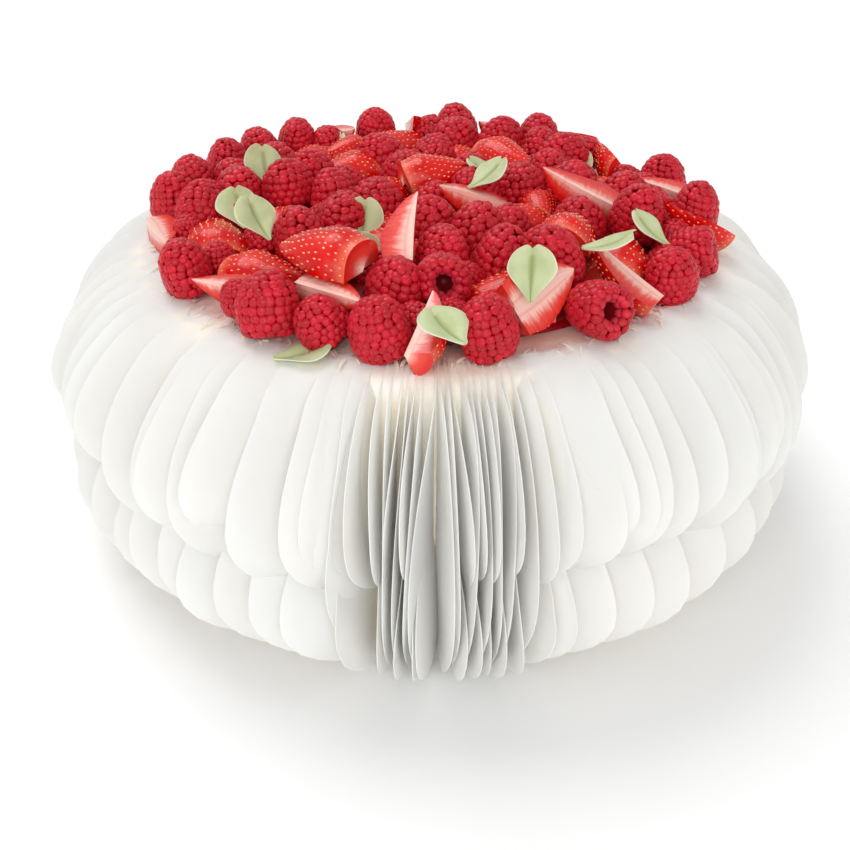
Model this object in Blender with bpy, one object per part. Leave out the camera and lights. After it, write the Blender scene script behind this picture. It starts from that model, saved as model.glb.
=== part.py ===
"""An angel food cake dressed with two tiers of wafer petals and heaped with berries.

The cake stands on z = 0 with its axis on +Z and its front towards -Y. Lengths are in metres.
Azimuths run from the front, 0 degrees, towards +X, 90 degrees.
Run it with: blender --background --python part.py
"""

import math

import bmesh
import bpy
from mathutils import Matrix, Vector
from mathutils.bvhtree import BVHTree
from mathutils.geometry import delaunay_2d_cdt

# ---- Driving dimensions -------------------------------------------------------------------

CAKE_RADIUS = 0.102
CAKE_HEIGHT = 0.103
CAKE_EDGE = 0.003  # rounding of the top edge
CAKE_SIDES = 48
GAP = 0.0004  # left between pieces that touch

PETAL_COUNT = 36  # pleats in each tier, with one on each axis
PETAL_ROWS = 6
PETAL_WALL = 0.003  # the band that the pleats stand on
PETAL_TIP_WIDTH = 0.0018
PETAL_FOOT_WIDTH = 0.0050
PETAL_SKEW = 0.2  # above 0, a petal is fuller below its middle
PETAL_UNEVENNESS = 0.03
PETAL_LEAN = math.radians(1.5)
UPPER_PETALS = {
    "top": CAKE_HEIGHT, "bottom": 0.034, "roots": (CAKE_HEIGHT, 0.052), "reach": 0.0385, "phase": 0
}
LOWER_PETALS = {
    "top": 0.059, "bottom": 0.0012, "roots": (0.049, 0.0012), "reach": 0.0370, "phase": 0.5
}

BED_RADIUS = 0.083
BED_THICKNESS = 0.0015  # between its berries
BED_BERRY_HEIGHT = 0.0175
BED_BERRY_RADIUS = 0.0105
BED_BERRY_SHOULDER = 0.0060  # the radius of the six corners round a berry's top
BED_SIDES = 40
BED_GRAIN = 0.0085  # mesh spacing between its berries

RASPBERRY_RADIUS = 0.0096
RASPBERRY_LENGTH = 0.0205
RASPBERRY_SIDES = 9

STRAWBERRY_RADIUS = 0.0142
STRAWBERRY_LENGTH = 0.0345

LEAF_LENGTH = 0.0185
LEAF_WIDTH = 0.0165
LEAF_THICKNESS = 0.0009
LEAF_FOLD = math.radians(24)  # how far each half of the blade rises from the midrib

# ---- Where the toppings lie ---------------------------------------------------------------

# Each ring is a distance from the axis and its pieces, as a letter and an azimuth in degrees.
# R raspberry upright, O raspberry with its hollow outwards, S strawberry half on its cut face,
# L a long one, H half showing its cut face, Q quarter pointing outwards, P quarter along the rim.
RIM_PIECES = (
    (0.0955, "Q359 R10 O32 R54 O66 Q77 R88 R109 Q140 R151 Q162 R173 Q184 R195 Q206"),
    (0.0955, "R217 R228 R240 R251 R263 P278 R303 R329 R351"),
    (0.0900, "P316 P341 Q43 Q98 H21 H124"),
)
TOP_PIECES = (
    (0.0770, "L291 O3 R36"),
    (0.0740, "L334 R76"),
    (0.0570, "R8 Q349 S44 S143 O179"),
    (0.0160, "Q84 S176"),
)
# The berries of the bed, which lie between the ones above.
BED_PIECES = (
    (0.0730, "S17 S56 R97 S112 R157 R172 S223 R238 R261 S313 R351"),
    (0.0550, "R24 R68 Q85 R107 R123 R201 S218 R238 R257 S277 R307 R326"),
    (0.0360, "R46 S66 R155 R260 R302 R27 R197 S340"),
    (0.0200, "R0 R125 S235 R275 S315"),
)
# The length of a piece as a share of its fruit's.
SIZES = {"R": 0.96, "O": 0.95, "Q": 0.80, "P": 0.74, "H": 0.78, "S": 0.80, "L": 0.96}
# How far a piece may slide from its place to find a lower one, and how much lower it has to
# come to rest for each length that it slides.
SLIDES = tuple((a, b) for a in (0, -0.003, -0.006, 0.002) for b in (0, -0.004, 0.004))
SLIDE_COST = 0.3

# Sugar leaves as azimuth, distance from the axis, and the way the blade points, in degrees
# from the back (+Y) towards +X, and above the horizontal.
LEAVES = (
    (4, 0.101, -35, 12),
    (338, 0.099, 70, 10),
    (17, 0.086, 5, 50),
    (38, 0.082, 110, 25),
    (65, 0.082, -60, 35),
    (95, 0.018, 60, 30),
    (126, 0.078, 35, 50),
    (143, 0.028, -70, 20),
    (214, 0.086, 60, 35),
    (283, 0.076, -20, 40),
    (252, 0.067, -15, 50),
    (304, 0.066, -40, 45),
    (336, 0.058, -35, 45),
    (324, 0.033, 10, 50),
)


# ---- Small helpers ------------------------------------------------------------------------


def jitter(index, salt):
    """A number from -1 to 1 that looks random and depends only on its two inputs."""
    wave = math.sin(index * 12.9898 + salt * 78.233) * 43758.5453
    return 2 * (wave - math.floor(wave)) - 1


def smooth(t):
    """A soft step from 0 to 1."""
    t = min(max(t, 0), 1)
    return t * t * (3 - 2 * t)


def outward(azimuth):
    """The horizontal direction away from the cake's axis at an azimuth in radians."""
    return Vector((math.sin(azimuth), -math.cos(azimuth), 0))


def sideways(azimuth):
    """The horizontal direction along a ring, towards larger azimuths."""
    return Vector((math.cos(azimuth), math.sin(azimuth), 0))


def material(name, colour, roughness):
    """A plain Principled material."""
    made = bpy.data.materials.new(name)
    made.use_nodes = True
    shader = made.node_tree.nodes["Principled BSDF"]
    shader.inputs["Base Color"].default_value = (*colour, 1)
    shader.inputs["Roughness"].default_value = roughness
    shader.inputs["Metallic"].default_value = 0
    return made


def mesh_from(name, points, faces):
    """A closed mesh with its faces turned outwards."""
    shape = bmesh.new()
    corners = [shape.verts.new(p) for p in points]
    for face in faces:
        shape.faces.new([corners[i] for i in face])
    bmesh.ops.recalc_face_normals(shape, faces=shape.faces)
    mesh = bpy.data.meshes.new(name)
    shape.to_mesh(mesh)
    shape.free()
    mesh.shade_smooth()
    mesh.set_sharp_from_angle(angle=math.radians(50))
    return mesh


def add_object(name, mesh, surface, placement=None):
    """Links a named object that wears one material."""
    made = bpy.data.objects.new(name, mesh)
    if not mesh.materials:
        mesh.materials.append(surface)
    if placement is not None:
        made.matrix_world = placement
    bpy.context.scene.collection.objects.link(made)
    return made


def lathe(name, profile, sides):
    """Turns a profile of (radius, z) points about Z. It starts and ends on the axis."""
    points = []
    rings = []
    for radius, z in profile:
        count = sides if radius > 0 else 1
        rings.append(range(len(points), len(points) + count))
        for k in range(count):
            angle = 2 * math.pi * k / sides
            points.append((radius * math.cos(angle), radius * math.sin(angle), z))
    faces = []
    for above, below in zip(rings, rings[1:]):
        for k in range(sides):
            n = (k + 1) % sides
            if len(above) == 1:
                faces.append((above[0], below[k], below[n]))
            elif len(below) == 1:
                faces.append((above[k], below[0], above[n]))
            else:
                faces.append((above[k], below[k], below[n], above[n]))
    return mesh_from(name, points, faces)


# ---- The cake and its petals --------------------------------------------------------------


def build_cake(surface):
    """The cake itself: a plain round with a softened top edge, flat underneath."""
    profile = [(0, CAKE_HEIGHT)]
    steps = 3
    for k in range(steps + 1):
        turn = math.pi / 2 * k / steps
        radius = CAKE_RADIUS - CAKE_EDGE + CAKE_EDGE * math.sin(turn)
        profile.append((radius, CAKE_HEIGHT - CAKE_EDGE + CAKE_EDGE * math.cos(turn)))
    profile += [(CAKE_RADIUS, 0), (0, 0)]
    return add_object("cake", lathe("cake", profile, CAKE_SIDES), surface)


def build_petal_tier(name, surface, top, bottom, roots, reach, phase):
    """One tier of petals: a band round the cake whose outside is pleated into upright fins.

    Seen from the side a fin is a half-oval from top to bottom, and it stands on the band, whose
    top and bottom are the roots. Going round, each pleat has four columns: its foot, the two
    sides of its thin tip, and its foot again.
    """
    inner = CAKE_RADIUS + GAP
    foot = PETAL_FOOT_WIDTH / inner / 2
    tip = PETAL_TIP_WIDTH / (inner + reach) / 2
    columns = []
    for fin in range(PETAL_COUNT):
        centre = 2 * math.pi * (fin + phase) / PETAL_COUNT
        uneven = 0 if fin % (PETAL_COUNT // 4) == 0 else 1
        fullness = 1 - uneven * PETAL_UNEVENNESS * (1 + jitter(fin, 1))
        lean = uneven * PETAL_LEAN * jitter(fin, 2)
        columns.append((centre - foot, 0))
        columns.append((centre + lean - tip, fullness))
        columns.append((centre + lean + tip, fullness))
        columns.append((centre + foot, 0))
    points = []
    for row in range(PETAL_ROWS + 1):
        turn = math.pi * row / PETAL_ROWS
        at_end = row in (0, PETAL_ROWS)
        swell = math.sin(turn) * (1 - PETAL_SKEW * math.cos(turn))
        for azimuth, fullness in columns:
            ends = (top, bottom) if fullness and not at_end else roots
            radius = inner
            if not at_end:
                radius += max(PETAL_WALL, reach * fullness * swell)
            z = sum(ends) / 2 + (ends[0] - ends[1]) / 2 * math.cos(turn)
            points.append(radius * outward(azimuth) + Vector((0, 0, z)))
    count = len(columns)
    faces = []
    for row in range(PETAL_ROWS):
        a, b = row * count, (row + 1) * count
        for k in range(count):
            n = (k + 1) % count
            faces.append((a + k, b + k, b + n, a + n))
    last = PETAL_ROWS * count
    for k in range(count):
        n = (k + 1) % count
        faces.append((k, n, last + n, last + k))
    return add_object(name, mesh_from(name, points, faces), surface)


# ---- Toppings -----------------------------------------------------------------------------


def ring_places(rings):
    """Each piece of the rings as its letter, azimuth in radians and distance from the axis."""
    for distance, pieces in rings:
        for piece in pieces.split():
            yield piece[0], math.radians(int(piece[1:])), distance


def build_berry_bed(surface):
    """The berries that fill the middle of the heap, as one low mound with a bump for each."""
    floor = CAKE_HEIGHT + GAP
    bumps = []
    for number, (_, azimuth, distance) in enumerate(ring_places(BED_PIECES)):
        height = BED_BERRY_HEIGHT * (1 + 0.08 * jitter(number, 6))
        bumps.append(((distance * outward(azimuth)).to_2d(), height))

    def height_at(spot):
        tallest = BED_THICKNESS
        for centre, height in bumps:
            off = (spot - centre).length / BED_BERRY_RADIUS
            if off < 1:
                tallest = max(tallest, height * math.sqrt(1 - off**2))
        return tallest

    spots = [centre for centre, _ in bumps]
    for number, (centre, _) in enumerate(bumps):
        for k in range(6):
            angle = math.pi / 3 * k + jitter(number, 7)
            spot = centre + BED_BERRY_SHOULDER * Vector((math.cos(angle), math.sin(angle)))
            if min((spot - other).length for other, _ in bumps) > 0.9 * BED_BERRY_SHOULDER:
                spots.append(spot)
    golden = math.pi * (3 - math.sqrt(5))
    count = int(math.pi * (BED_RADIUS / BED_GRAIN) ** 2)
    for k in range(count):
        reach = 0.96 * BED_RADIUS * math.sqrt((k + 0.5) / count)
        spot = reach * outward(golden * k).to_2d()
        if min((spot - centre).length for centre, _ in bumps) > 0.9 * BED_BERRY_RADIUS:
            spots.append(spot)
    rim = len(spots)
    for k in range(BED_SIDES):
        spots.append(BED_RADIUS * outward(2 * math.pi * k / BED_SIDES).to_2d())
    plan, _, tops, *_ = delaunay_2d_cdt(spots, [], [], 0, 1e-6)
    points = [(p.x, p.y, floor + height_at(p)) for p in plan]
    points += [(p.x, p.y, floor) for p in plan[rim:]]
    faces = [tuple(face) for face in tops]
    under = len(plan)
    for k in range(BED_SIDES):
        n = (k + 1) % BED_SIDES
        faces.append((rim + k, rim + n, under + n, under + k))
    faces.append(tuple(range(under, under + BED_SIDES)))
    return add_object("berry_bed", mesh_from("berry_bed", points, faces), surface)


def raspberry_mesh():
    """A raspberry with its tip up and its open hollow underneath, at the origin."""
    r, h = RASPBERRY_RADIUS, RASPBERRY_LENGTH
    profile = [
        (0, h),
        (0.56 * r, 0.92 * h),
        (0.90 * r, 0.70 * h),
        (1.00 * r, 0.42 * h),
        (0.90 * r, 0.08 * h),
        (0.66 * r, 0.00 * h),
        (0.40 * r, 0.08 * h),
        (0, 0.52 * h),
    ]
    return lathe("raspberry", profile, RASPBERRY_SIDES)


def strawberry_girth(t):
    """A strawberry's radius at a share t of its length, from its trimmed shoulder to its tip."""
    shoulder = 1 - 0.22 * (1 - smooth(t / 0.3))
    return STRAWBERRY_RADIUS * shoulder * (1 - t**1.7) ** 0.77


def strawberry_mesh(name, sweep, steps):
    """A cut strawberry along +X, with its skin upwards and its cut faces meeting on the X axis."""
    stations = (0, 0.22, 0.5, 0.8)
    points = []
    for t in stations:
        x = t * STRAWBERRY_LENGTH
        points.append((x, 0, 0))
        for k in range(steps + 1):
            angle = sweep * (k / steps - 0.5)
            girth = strawberry_girth(t)
            points.append((x, girth * math.sin(angle), girth * math.cos(angle)))
    tip = len(points)
    points.append((STRAWBERRY_LENGTH, 0, 0))
    width = steps + 2
    faces = [(0, k, k + 1) for k in range(1, steps + 1)]
    for s in range(len(stations) - 1):
        a, b = s * width, (s + 1) * width
        for k in range(width):
            n = (k + 1) % width
            faces.append((a + k, b + k, b + n, a + n))
    last = (len(stations) - 1) * width
    faces += [(last + k, tip, last + (k + 1) % width) for k in range(width)]
    return mesh_from(name, points, faces)


def leaf_mesh():
    """A folded leaf along +X from its pointed base, opening upwards from its midrib."""
    rows = (0.03, 0.20, 0.42, 0.66, 0.86, 0.97)
    points = []
    for u in rows:
        oval = math.sqrt(1 - (2 * u - 1) ** 2)
        half = LEAF_WIDTH / 2 * oval * (0.45 + 0.55 * smooth(u / 0.7))
        lift = 0.12 * LEAF_LENGTH * (2 * u - 1) ** 2
        for side in (-1, 0, 1):
            y = side * half * math.cos(LEAF_FOLD)
            z = lift + abs(side) * half * math.sin(LEAF_FOLD)
            points.append((LEAF_LENGTH * u, y, z))
    points += [(x, y, z - LEAF_THICKNESS) for x, y, z in points]
    under = len(rows) * 3
    faces = []
    for row in range(len(rows) - 1):
        a, b = 3 * row, 3 * (row + 1)
        for k in (0, 1):
            faces.append((a + k, b + k, b + k + 1, a + k + 1))
            faces.append((under + a + k, under + a + k + 1, under + b + k + 1, under + b + k))
        for k in (0, 2):
            faces.append((a + k, b + k, under + b + k, under + a + k))
    for end in (0, 3 * (len(rows) - 1)):
        for k in (0, 1):
            faces.append((end + k, end + k + 1, under + end + k + 1, under + end + k))
    return mesh_from("leaf", points, faces)


def axes_to_matrix(x, z):
    """A rotation whose X axis is x and whose Z axis leans as near to z as it can."""
    x = x.normalized()
    y = z.cross(x).normalized()
    return Matrix((x, y, x.cross(y))).transposed()


def raspberry_turn(kind, index, azimuth):
    """How a raspberry of a ring lies: upright, or with its hollow outwards."""
    out, side, up = outward(azimuth), sideways(azimuth), Vector((0, 0, 1))
    tip = up + 0.3 * jitter(index, 1) * out + 0.3 * jitter(index, 2) * side
    if kind == "O":
        tip = -out + 0.25 * jitter(index, 1) * side - 0.32 * up
    return axes_to_matrix(out.cross(tip).cross(tip), tip)


def strawberry_turn(kind, index, azimuth):
    """How a cut strawberry of a ring lies: skin up, or with a cut face outwards or sideways."""
    out, side, up = outward(azimuth), sideways(azimuth), Vector((0, 0, 1))
    swing = math.radians(28) * jitter(index, 1)
    sign = math.copysign(1, jitter(index, 2))
    if kind == "Q":
        along, facing, rise, roll = -out, sign * side, 0.40, 130
    else:
        along, facing, rise, roll = sign * side, out, 0.12, 128
    turned = Matrix.Rotation(swing, 3, "Z")
    along, facing = turned @ along, turned @ facing
    along += (rise + 0.12 * jitter(index, 3)) * up
    if kind in "SL":
        return axes_to_matrix(along, up)
    roll = math.radians(roll + 12 * jitter(index, 4))
    return axes_to_matrix(along, up * math.cos(roll) - facing * math.sin(roll))


def leaf_turn(heading, rise):
    """How a leaf is stuck in: its blade points along a heading and rises from its base."""
    heading, rise = math.radians(heading), math.radians(rise)
    flat = Vector((math.sin(heading), math.cos(heading), 0))
    up = Vector((0, 0, 1))
    return axes_to_matrix(flat * math.cos(rise) + up * math.sin(rise), up)


class Heap:
    """The toppings laid so far. Each new one is lowered until it rests on them."""

    def __init__(self, *supports):
        self.trees = []
        bpy.context.view_layer.update()
        for support in supports:
            self.add(support.data, support.matrix_world)

    @staticmethod
    def tree_of(mesh, placement, swell=0.0):
        """The mesh's search tree and XY box, with its surface moved outwards by swell."""
        turn = placement.to_3x3()
        corners = [placement @ v.co + swell * (turn @ v.normal).normalized() for v in mesh.vertices]
        tree = BVHTree.FromPolygons(corners, [p.vertices[:] for p in mesh.polygons])
        xs, ys = [c.x for c in corners], [c.y for c in corners]
        return tree, (min(xs), max(xs), min(ys), max(ys))

    def add(self, mesh, placement):
        """Counts a mesh among what later pieces rest on."""
        self.trees.append(self.tree_of(mesh, placement))

    def hits(self, mesh, placement):
        """Whether a mesh here would touch anything laid so far."""
        tree, box = self.tree_of(mesh, placement, GAP)
        for other, room in self.trees:
            apart = box[0] > room[1] or box[1] < room[0] or box[2] > room[3] or box[3] < room[2]
            if not apart and tree.overlap(other):
                return True
        return False

    def drop(self, mesh, spin, floor, place):
        """The height at which a piece dropped at a place comes to rest."""
        coarse, fine = 0.001, 0.0001
        height = CAKE_HEIGHT + 0.045

        def at(lower):
            return Matrix.Translation(place + Vector((0, 0, height - lower - floor))) @ spin

        while height > CAKE_HEIGHT and not self.hits(mesh, at(coarse)):
            height -= coarse
        while height > CAKE_HEIGHT and not self.hits(mesh, at(fine)):
            height -= fine
        return height

    def lay(self, mesh, turn, size, azimuth, distance):
        """The placement of a piece that has come to rest on the heap near a place."""
        spin = turn.to_4x4() @ Matrix.Scale(size, 4)
        corners = [spin @ v.co for v in mesh.vertices]
        centre = [(min(c[i] for c in corners) + max(c[i] for c in corners)) / 2 for i in (0, 1)]
        floor = min(c.z for c in corners)
        wanted = distance * outward(azimuth) - Vector((*centre, 0))
        rests = []
        for out, side in SLIDES:
            place = wanted + out * outward(azimuth) + side * sideways(azimuth)
            height = self.drop(mesh, spin, floor, place)
            rests.append((height + SLIDE_COST * math.hypot(out, side), height, place))
        _, height, place = min(rests, key=lambda rest: rest[0])
        placement = Matrix.Translation(place + Vector((0, 0, height - floor))) @ spin
        self.add(mesh, placement)
        return placement


def build_berries(heap, raspberry_surface, strawberry_surface):
    """Lays the berries ring by ring, from the rim inwards."""
    meshes = {
        "raspberry": raspberry_mesh(),
        "strawberry_half": strawberry_mesh("strawberry_half", math.pi, 6),
        "strawberry_quarter": strawberry_mesh("strawberry_quarter", math.pi / 2, 3),
    }
    counts = dict.fromkeys(meshes, 0)
    for index, (kind, azimuth, distance) in enumerate(ring_places(RIM_PIECES + TOP_PIECES)):
        if kind in "RO":
            fruit, surface = "raspberry", raspberry_surface
            turn = raspberry_turn(kind, index, azimuth)
        else:
            fruit = "strawberry_quarter" if kind in "QP" else "strawberry_half"
            surface = strawberry_surface
            turn = strawberry_turn(kind, index, azimuth)
        counts[fruit] += 1
        size = SIZES[kind] * (1 + 0.05 * jitter(index, 4))
        placement = heap.lay(meshes[fruit], turn, size, azimuth, distance)
        add_object(f"{fruit}_{counts[fruit]:02d}", meshes[fruit], surface, placement)


def build_leaves(heap, surface):
    """Sticks the sugar leaves into the heap."""
    mesh = leaf_mesh()
    for number, (azimuth, distance, heading, rise) in enumerate(LEAVES, 1):
        turn = leaf_turn(heading, rise)
        placement = heap.lay(mesh, turn, 1.0, math.radians(azimuth), distance)
        add_object(f"leaf_{number:02d}", mesh, surface, placement)


def main():
    """Builds every piece in place."""
    for old in list(bpy.data.objects):
        bpy.data.objects.remove(old)
    wafer = material("wafer", (0.88, 0.87, 0.83), 0.55)
    raspberry = material("raspberry", (0.42, 0.012, 0.045), 0.4)
    strawberry = material("strawberry", (0.62, 0.02, 0.015), 0.25)
    cake = build_cake(material("cream", (0.86, 0.80, 0.70), 0.5))
    upper = build_petal_tier("petals_upper", wafer, **UPPER_PETALS)
    build_petal_tier("petals_lower", wafer, **LOWER_PETALS)
    bed = build_berry_bed(raspberry)
    heap = Heap(cake, upper, bed)
    build_berries(heap, raspberry, strawberry)
    build_leaves(heap, material("leaf", (0.48, 0.56, 0.30), 0.6))


main()
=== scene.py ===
"""The looks of an angel food cake dressed in wafer petals and heaped with berries and leaves.

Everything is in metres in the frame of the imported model: the cake stands on z = 0 with its axis
on +Z and its front towards -Y. Azimuths run from the front, 0 degrees, towards +X, 90 degrees.
"""

import logging
import math
from collections.abc import Iterator
from dataclasses import dataclass, field
from enum import Enum

import bpy
import numpy as np
from mathutils import Matrix, Vector


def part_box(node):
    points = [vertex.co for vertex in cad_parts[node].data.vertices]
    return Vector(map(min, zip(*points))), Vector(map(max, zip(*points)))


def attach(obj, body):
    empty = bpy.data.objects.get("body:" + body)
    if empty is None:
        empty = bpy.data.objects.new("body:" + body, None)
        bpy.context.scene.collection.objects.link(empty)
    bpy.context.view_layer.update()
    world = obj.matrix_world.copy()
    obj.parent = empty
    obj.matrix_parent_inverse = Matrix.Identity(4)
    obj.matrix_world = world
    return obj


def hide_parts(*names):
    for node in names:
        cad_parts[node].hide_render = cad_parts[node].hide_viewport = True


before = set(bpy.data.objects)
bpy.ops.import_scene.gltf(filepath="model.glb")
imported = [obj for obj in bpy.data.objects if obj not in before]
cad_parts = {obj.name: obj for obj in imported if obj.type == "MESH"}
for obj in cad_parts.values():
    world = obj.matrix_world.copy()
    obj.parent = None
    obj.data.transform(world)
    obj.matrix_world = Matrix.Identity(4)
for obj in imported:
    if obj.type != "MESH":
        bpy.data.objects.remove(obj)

LOG = logging.getLogger("cake")
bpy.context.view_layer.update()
MM = 0.001
BODY = "root"
Colour = tuple[float, float, float]

# Where the toppings lie, as in the CAD model: each ring is a distance from the axis and its
# pieces, as a letter of Kind and an azimuth in degrees.
RIM_PIECES = (
    (0.0955, "Q359 R10 O32 R54 O66 Q77 R88 R109 Q140 R151 Q162 R173 Q184 R195 Q206"),
    (0.0955, "R217 R228 R240 R251 R263 P278 R303 R329 R351"),
    (0.0900, "P316 P341 Q43 Q98 H21 H124"),
)
TOP_PIECES = (
    (0.0770, "L291 O3 R36"),
    (0.0740, "L334 R76"),
    (0.0570, "R8 Q349 S44 S143 O179"),
    (0.0160, "Q84 S176"),
)
BED_PIECES = (
    (0.0730, "S17 S56 R97 S112 R157 R172 S223 R238 R261 S313 R351"),
    (0.0550, "R24 R68 Q85 R107 R123 R201 S218 R238 R257 S277 R307 R326"),
    (0.0360, "R46 S66 R155 R260 R302 R27 R197 S340"),
    (0.0200, "R0 R125 S235 R275 S315"),
)
LEAF_POSES = (  # heading from the back (+Y) towards +X, and rise above the horizontal, degrees
    (-35, 12), (70, 10), (5, 50), (110, 25), (-60, 35), (60, 30), (35, 50),
    (-70, 20), (60, 35), (-20, 40), (-15, 50), (-40, 45), (-35, 45), (10, 50),
)


class Kind(Enum):
    """How a berry is cut and how it lies."""

    RASPBERRY = "R"  # upright
    OPEN_RASPBERRY = "O"  # with its hollow outwards
    HALF = "S"  # strawberry half on its cut face
    LONG_HALF = "L"
    SHOWN_HALF = "H"  # half with its cut face outwards
    QUARTER = "Q"  # pointing outwards
    RIM_QUARTER = "P"  # lying along the rim

    @property
    def is_raspberry(self) -> bool:
        """Whether it is a raspberry and not a cut strawberry."""
        return self in (Kind.RASPBERRY, Kind.OPEN_RASPBERRY)

    @property
    def is_quarter(self) -> bool:
        """Whether it is a quarter of a strawberry."""
        return self in (Kind.QUARTER, Kind.RIM_QUARTER)

    @property
    def fruit(self) -> str:
        """The first part of the name of its CAD node."""
        if self.is_raspberry:
            return "raspberry"
        return "strawberry_quarter" if self.is_quarter else "strawberry_half"

    @property
    def size(self) -> float:
        """Its length as a share of its fruit's."""
        return {"R": 0.96, "O": 0.95, "Q": 0.80, "P": 0.74, "H": 0.78, "S": 0.80, "L": 0.96}[self.value]


# ---- Small helpers ------------------------------------------------------------------------


def jitter(index: float, salt: float) -> float:
    """A number from -1 to 1 that looks random and depends only on its two inputs."""
    wave = math.sin(index * 12.9898 + salt * 78.233) * 43758.5453
    return 2 * (wave - math.floor(wave)) - 1


def smooth(t: np.ndarray | float) -> np.ndarray | float:
    """A soft step from 0 to 1."""
    t = np.clip(t, 0, 1)
    return t * t * (3 - 2 * t)


def outward(azimuth: float) -> Vector:
    """The horizontal direction away from the cake's axis at an azimuth in radians."""
    return Vector((math.sin(azimuth), -math.cos(azimuth), 0))


def sideways(azimuth: float) -> Vector:
    """The horizontal direction along a ring, towards larger azimuths."""
    return Vector((math.cos(azimuth), math.sin(azimuth), 0))


def paint(red: int, green: int, blue: int) -> Colour:
    """Turns a display colour of 0 to 255 a channel into the linear values that shaders use.

    Args:
        red: the red channel.
        green: the green channel.
        blue: the blue channel.

    Returns:
        The three channels in linear light.
    """

    def channel(value: int) -> float:
        """One channel in linear light."""
        share = value / 255
        return share / 12.92 if share <= 0.04045 else ((share + 0.055) / 1.055) ** 2.4

    return channel(red), channel(green), channel(blue)


def axes_to_matrix(x: Vector, z: Vector) -> Matrix:
    """A rotation whose X axis is x and whose Z axis leans as near to z as it can.

    Args:
        x: where its X axis points.
        z: where its Z axis leans.

    Returns:
        The rotation.
    """
    x = x.normalized()
    y = z.cross(x).normalized()
    return Matrix((x, y, x.cross(y))).transposed()


def ring_places(rings: tuple) -> Iterator[tuple[Kind, float, float]]:
    """Yields each piece of the rings as its kind, azimuth in radians and distance.

    Args:
        rings: the rings, each a distance and its pieces.

    Returns:
        The pieces one by one.
    """
    for distance, pieces in rings:
        for piece in pieces.split():
            yield Kind(piece[0]), math.radians(int(piece[1:])), distance


def raspberry_turn(kind: Kind, index: int, azimuth: float) -> Matrix:
    """How a raspberry of a ring lies: upright, or with its hollow outwards.

    Args:
        kind: how the berry is cut and lies.
        index: what its small differences depend on.
        azimuth: where it lies round the axis, in radians.

    Returns:
        The rotation.
    """
    out, side, up = outward(azimuth), sideways(azimuth), Vector((0, 0, 1))
    tip = up + 0.3 * jitter(index, 1) * out + 0.3 * jitter(index, 2) * side
    if kind is Kind.OPEN_RASPBERRY:
        tip = -out + 0.25 * jitter(index, 1) * side - 0.32 * up
    return axes_to_matrix(out.cross(tip).cross(tip), tip)


def strawberry_turn(kind: Kind, index: int, azimuth: float) -> Matrix:
    """How a cut strawberry lies: skin up, or with a cut face outwards or sideways.

    Args:
        kind: how the berry is cut and lies.
        index: what its small differences depend on.
        azimuth: where it lies round the axis, in radians.

    Returns:
        The rotation.
    """
    out, side, up = outward(azimuth), sideways(azimuth), Vector((0, 0, 1))
    swing = math.radians(28) * jitter(index, 1)
    sign = math.copysign(1, jitter(index, 2))
    if kind is Kind.QUARTER:
        along, facing, rise, roll = -out, sign * side, 0.40, 130
    else:
        along, facing, rise, roll = sign * side, out, 0.12, 128
    turned = Matrix.Rotation(swing, 3, "Z")
    along, facing = turned @ along, turned @ facing
    along += (rise + 0.12 * jitter(index, 3)) * up
    if kind in (Kind.HALF, Kind.LONG_HALF):
        return axes_to_matrix(along, up)
    roll = math.radians(roll + 12 * jitter(index, 4))
    return axes_to_matrix(along, up * math.cos(roll) - facing * math.sin(roll))


def berry_turn(kind: Kind, index: int, azimuth: float) -> Matrix:
    """How a berry of either fruit lies."""
    turn = raspberry_turn if kind.is_raspberry else strawberry_turn
    return turn(kind, index, azimuth)


def grid_faces(rows: int, columns: int, wrap: bool = False) -> np.ndarray:
    """Quads over points stored row by row.

    Args:
        rows: how many rows of points there are.
        columns: how many points a row has.
        wrap: whether the last column joins the first.

    Returns:
        One row of four point numbers for each quad.
    """
    row = np.arange(rows - 1)[:, None]
    column = np.arange(columns if wrap else columns - 1)[None, :]
    after = (column + 1) % columns
    corners = (row * columns + column, row * columns + after,
               (row + 1) * columns + after, (row + 1) * columns + column)
    return np.stack([c.ravel() for c in np.broadcast_arrays(*corners)], 1)


def fan_faces(tip: int, ring: np.ndarray) -> np.ndarray:
    """Triangles from one point to each side of a closed ring of points."""
    return np.stack([np.full(len(ring), tip), ring, np.roll(ring, -1)], 1)


def band_faces(lower: np.ndarray, upper: np.ndarray) -> np.ndarray:
    """Quads between two closed rings of as many points."""
    return np.stack([lower, np.roll(lower, -1), np.roll(upper, -1), upper], 1)


def around(radius: np.ndarray, azimuth: np.ndarray, height: np.ndarray) -> np.ndarray:
    """Points at distances from the cake's axis, azimuths in radians and heights."""
    return np.stack(np.broadcast_arrays(radius * np.sin(azimuth), -radius * np.cos(azimuth), height), -1)


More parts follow.
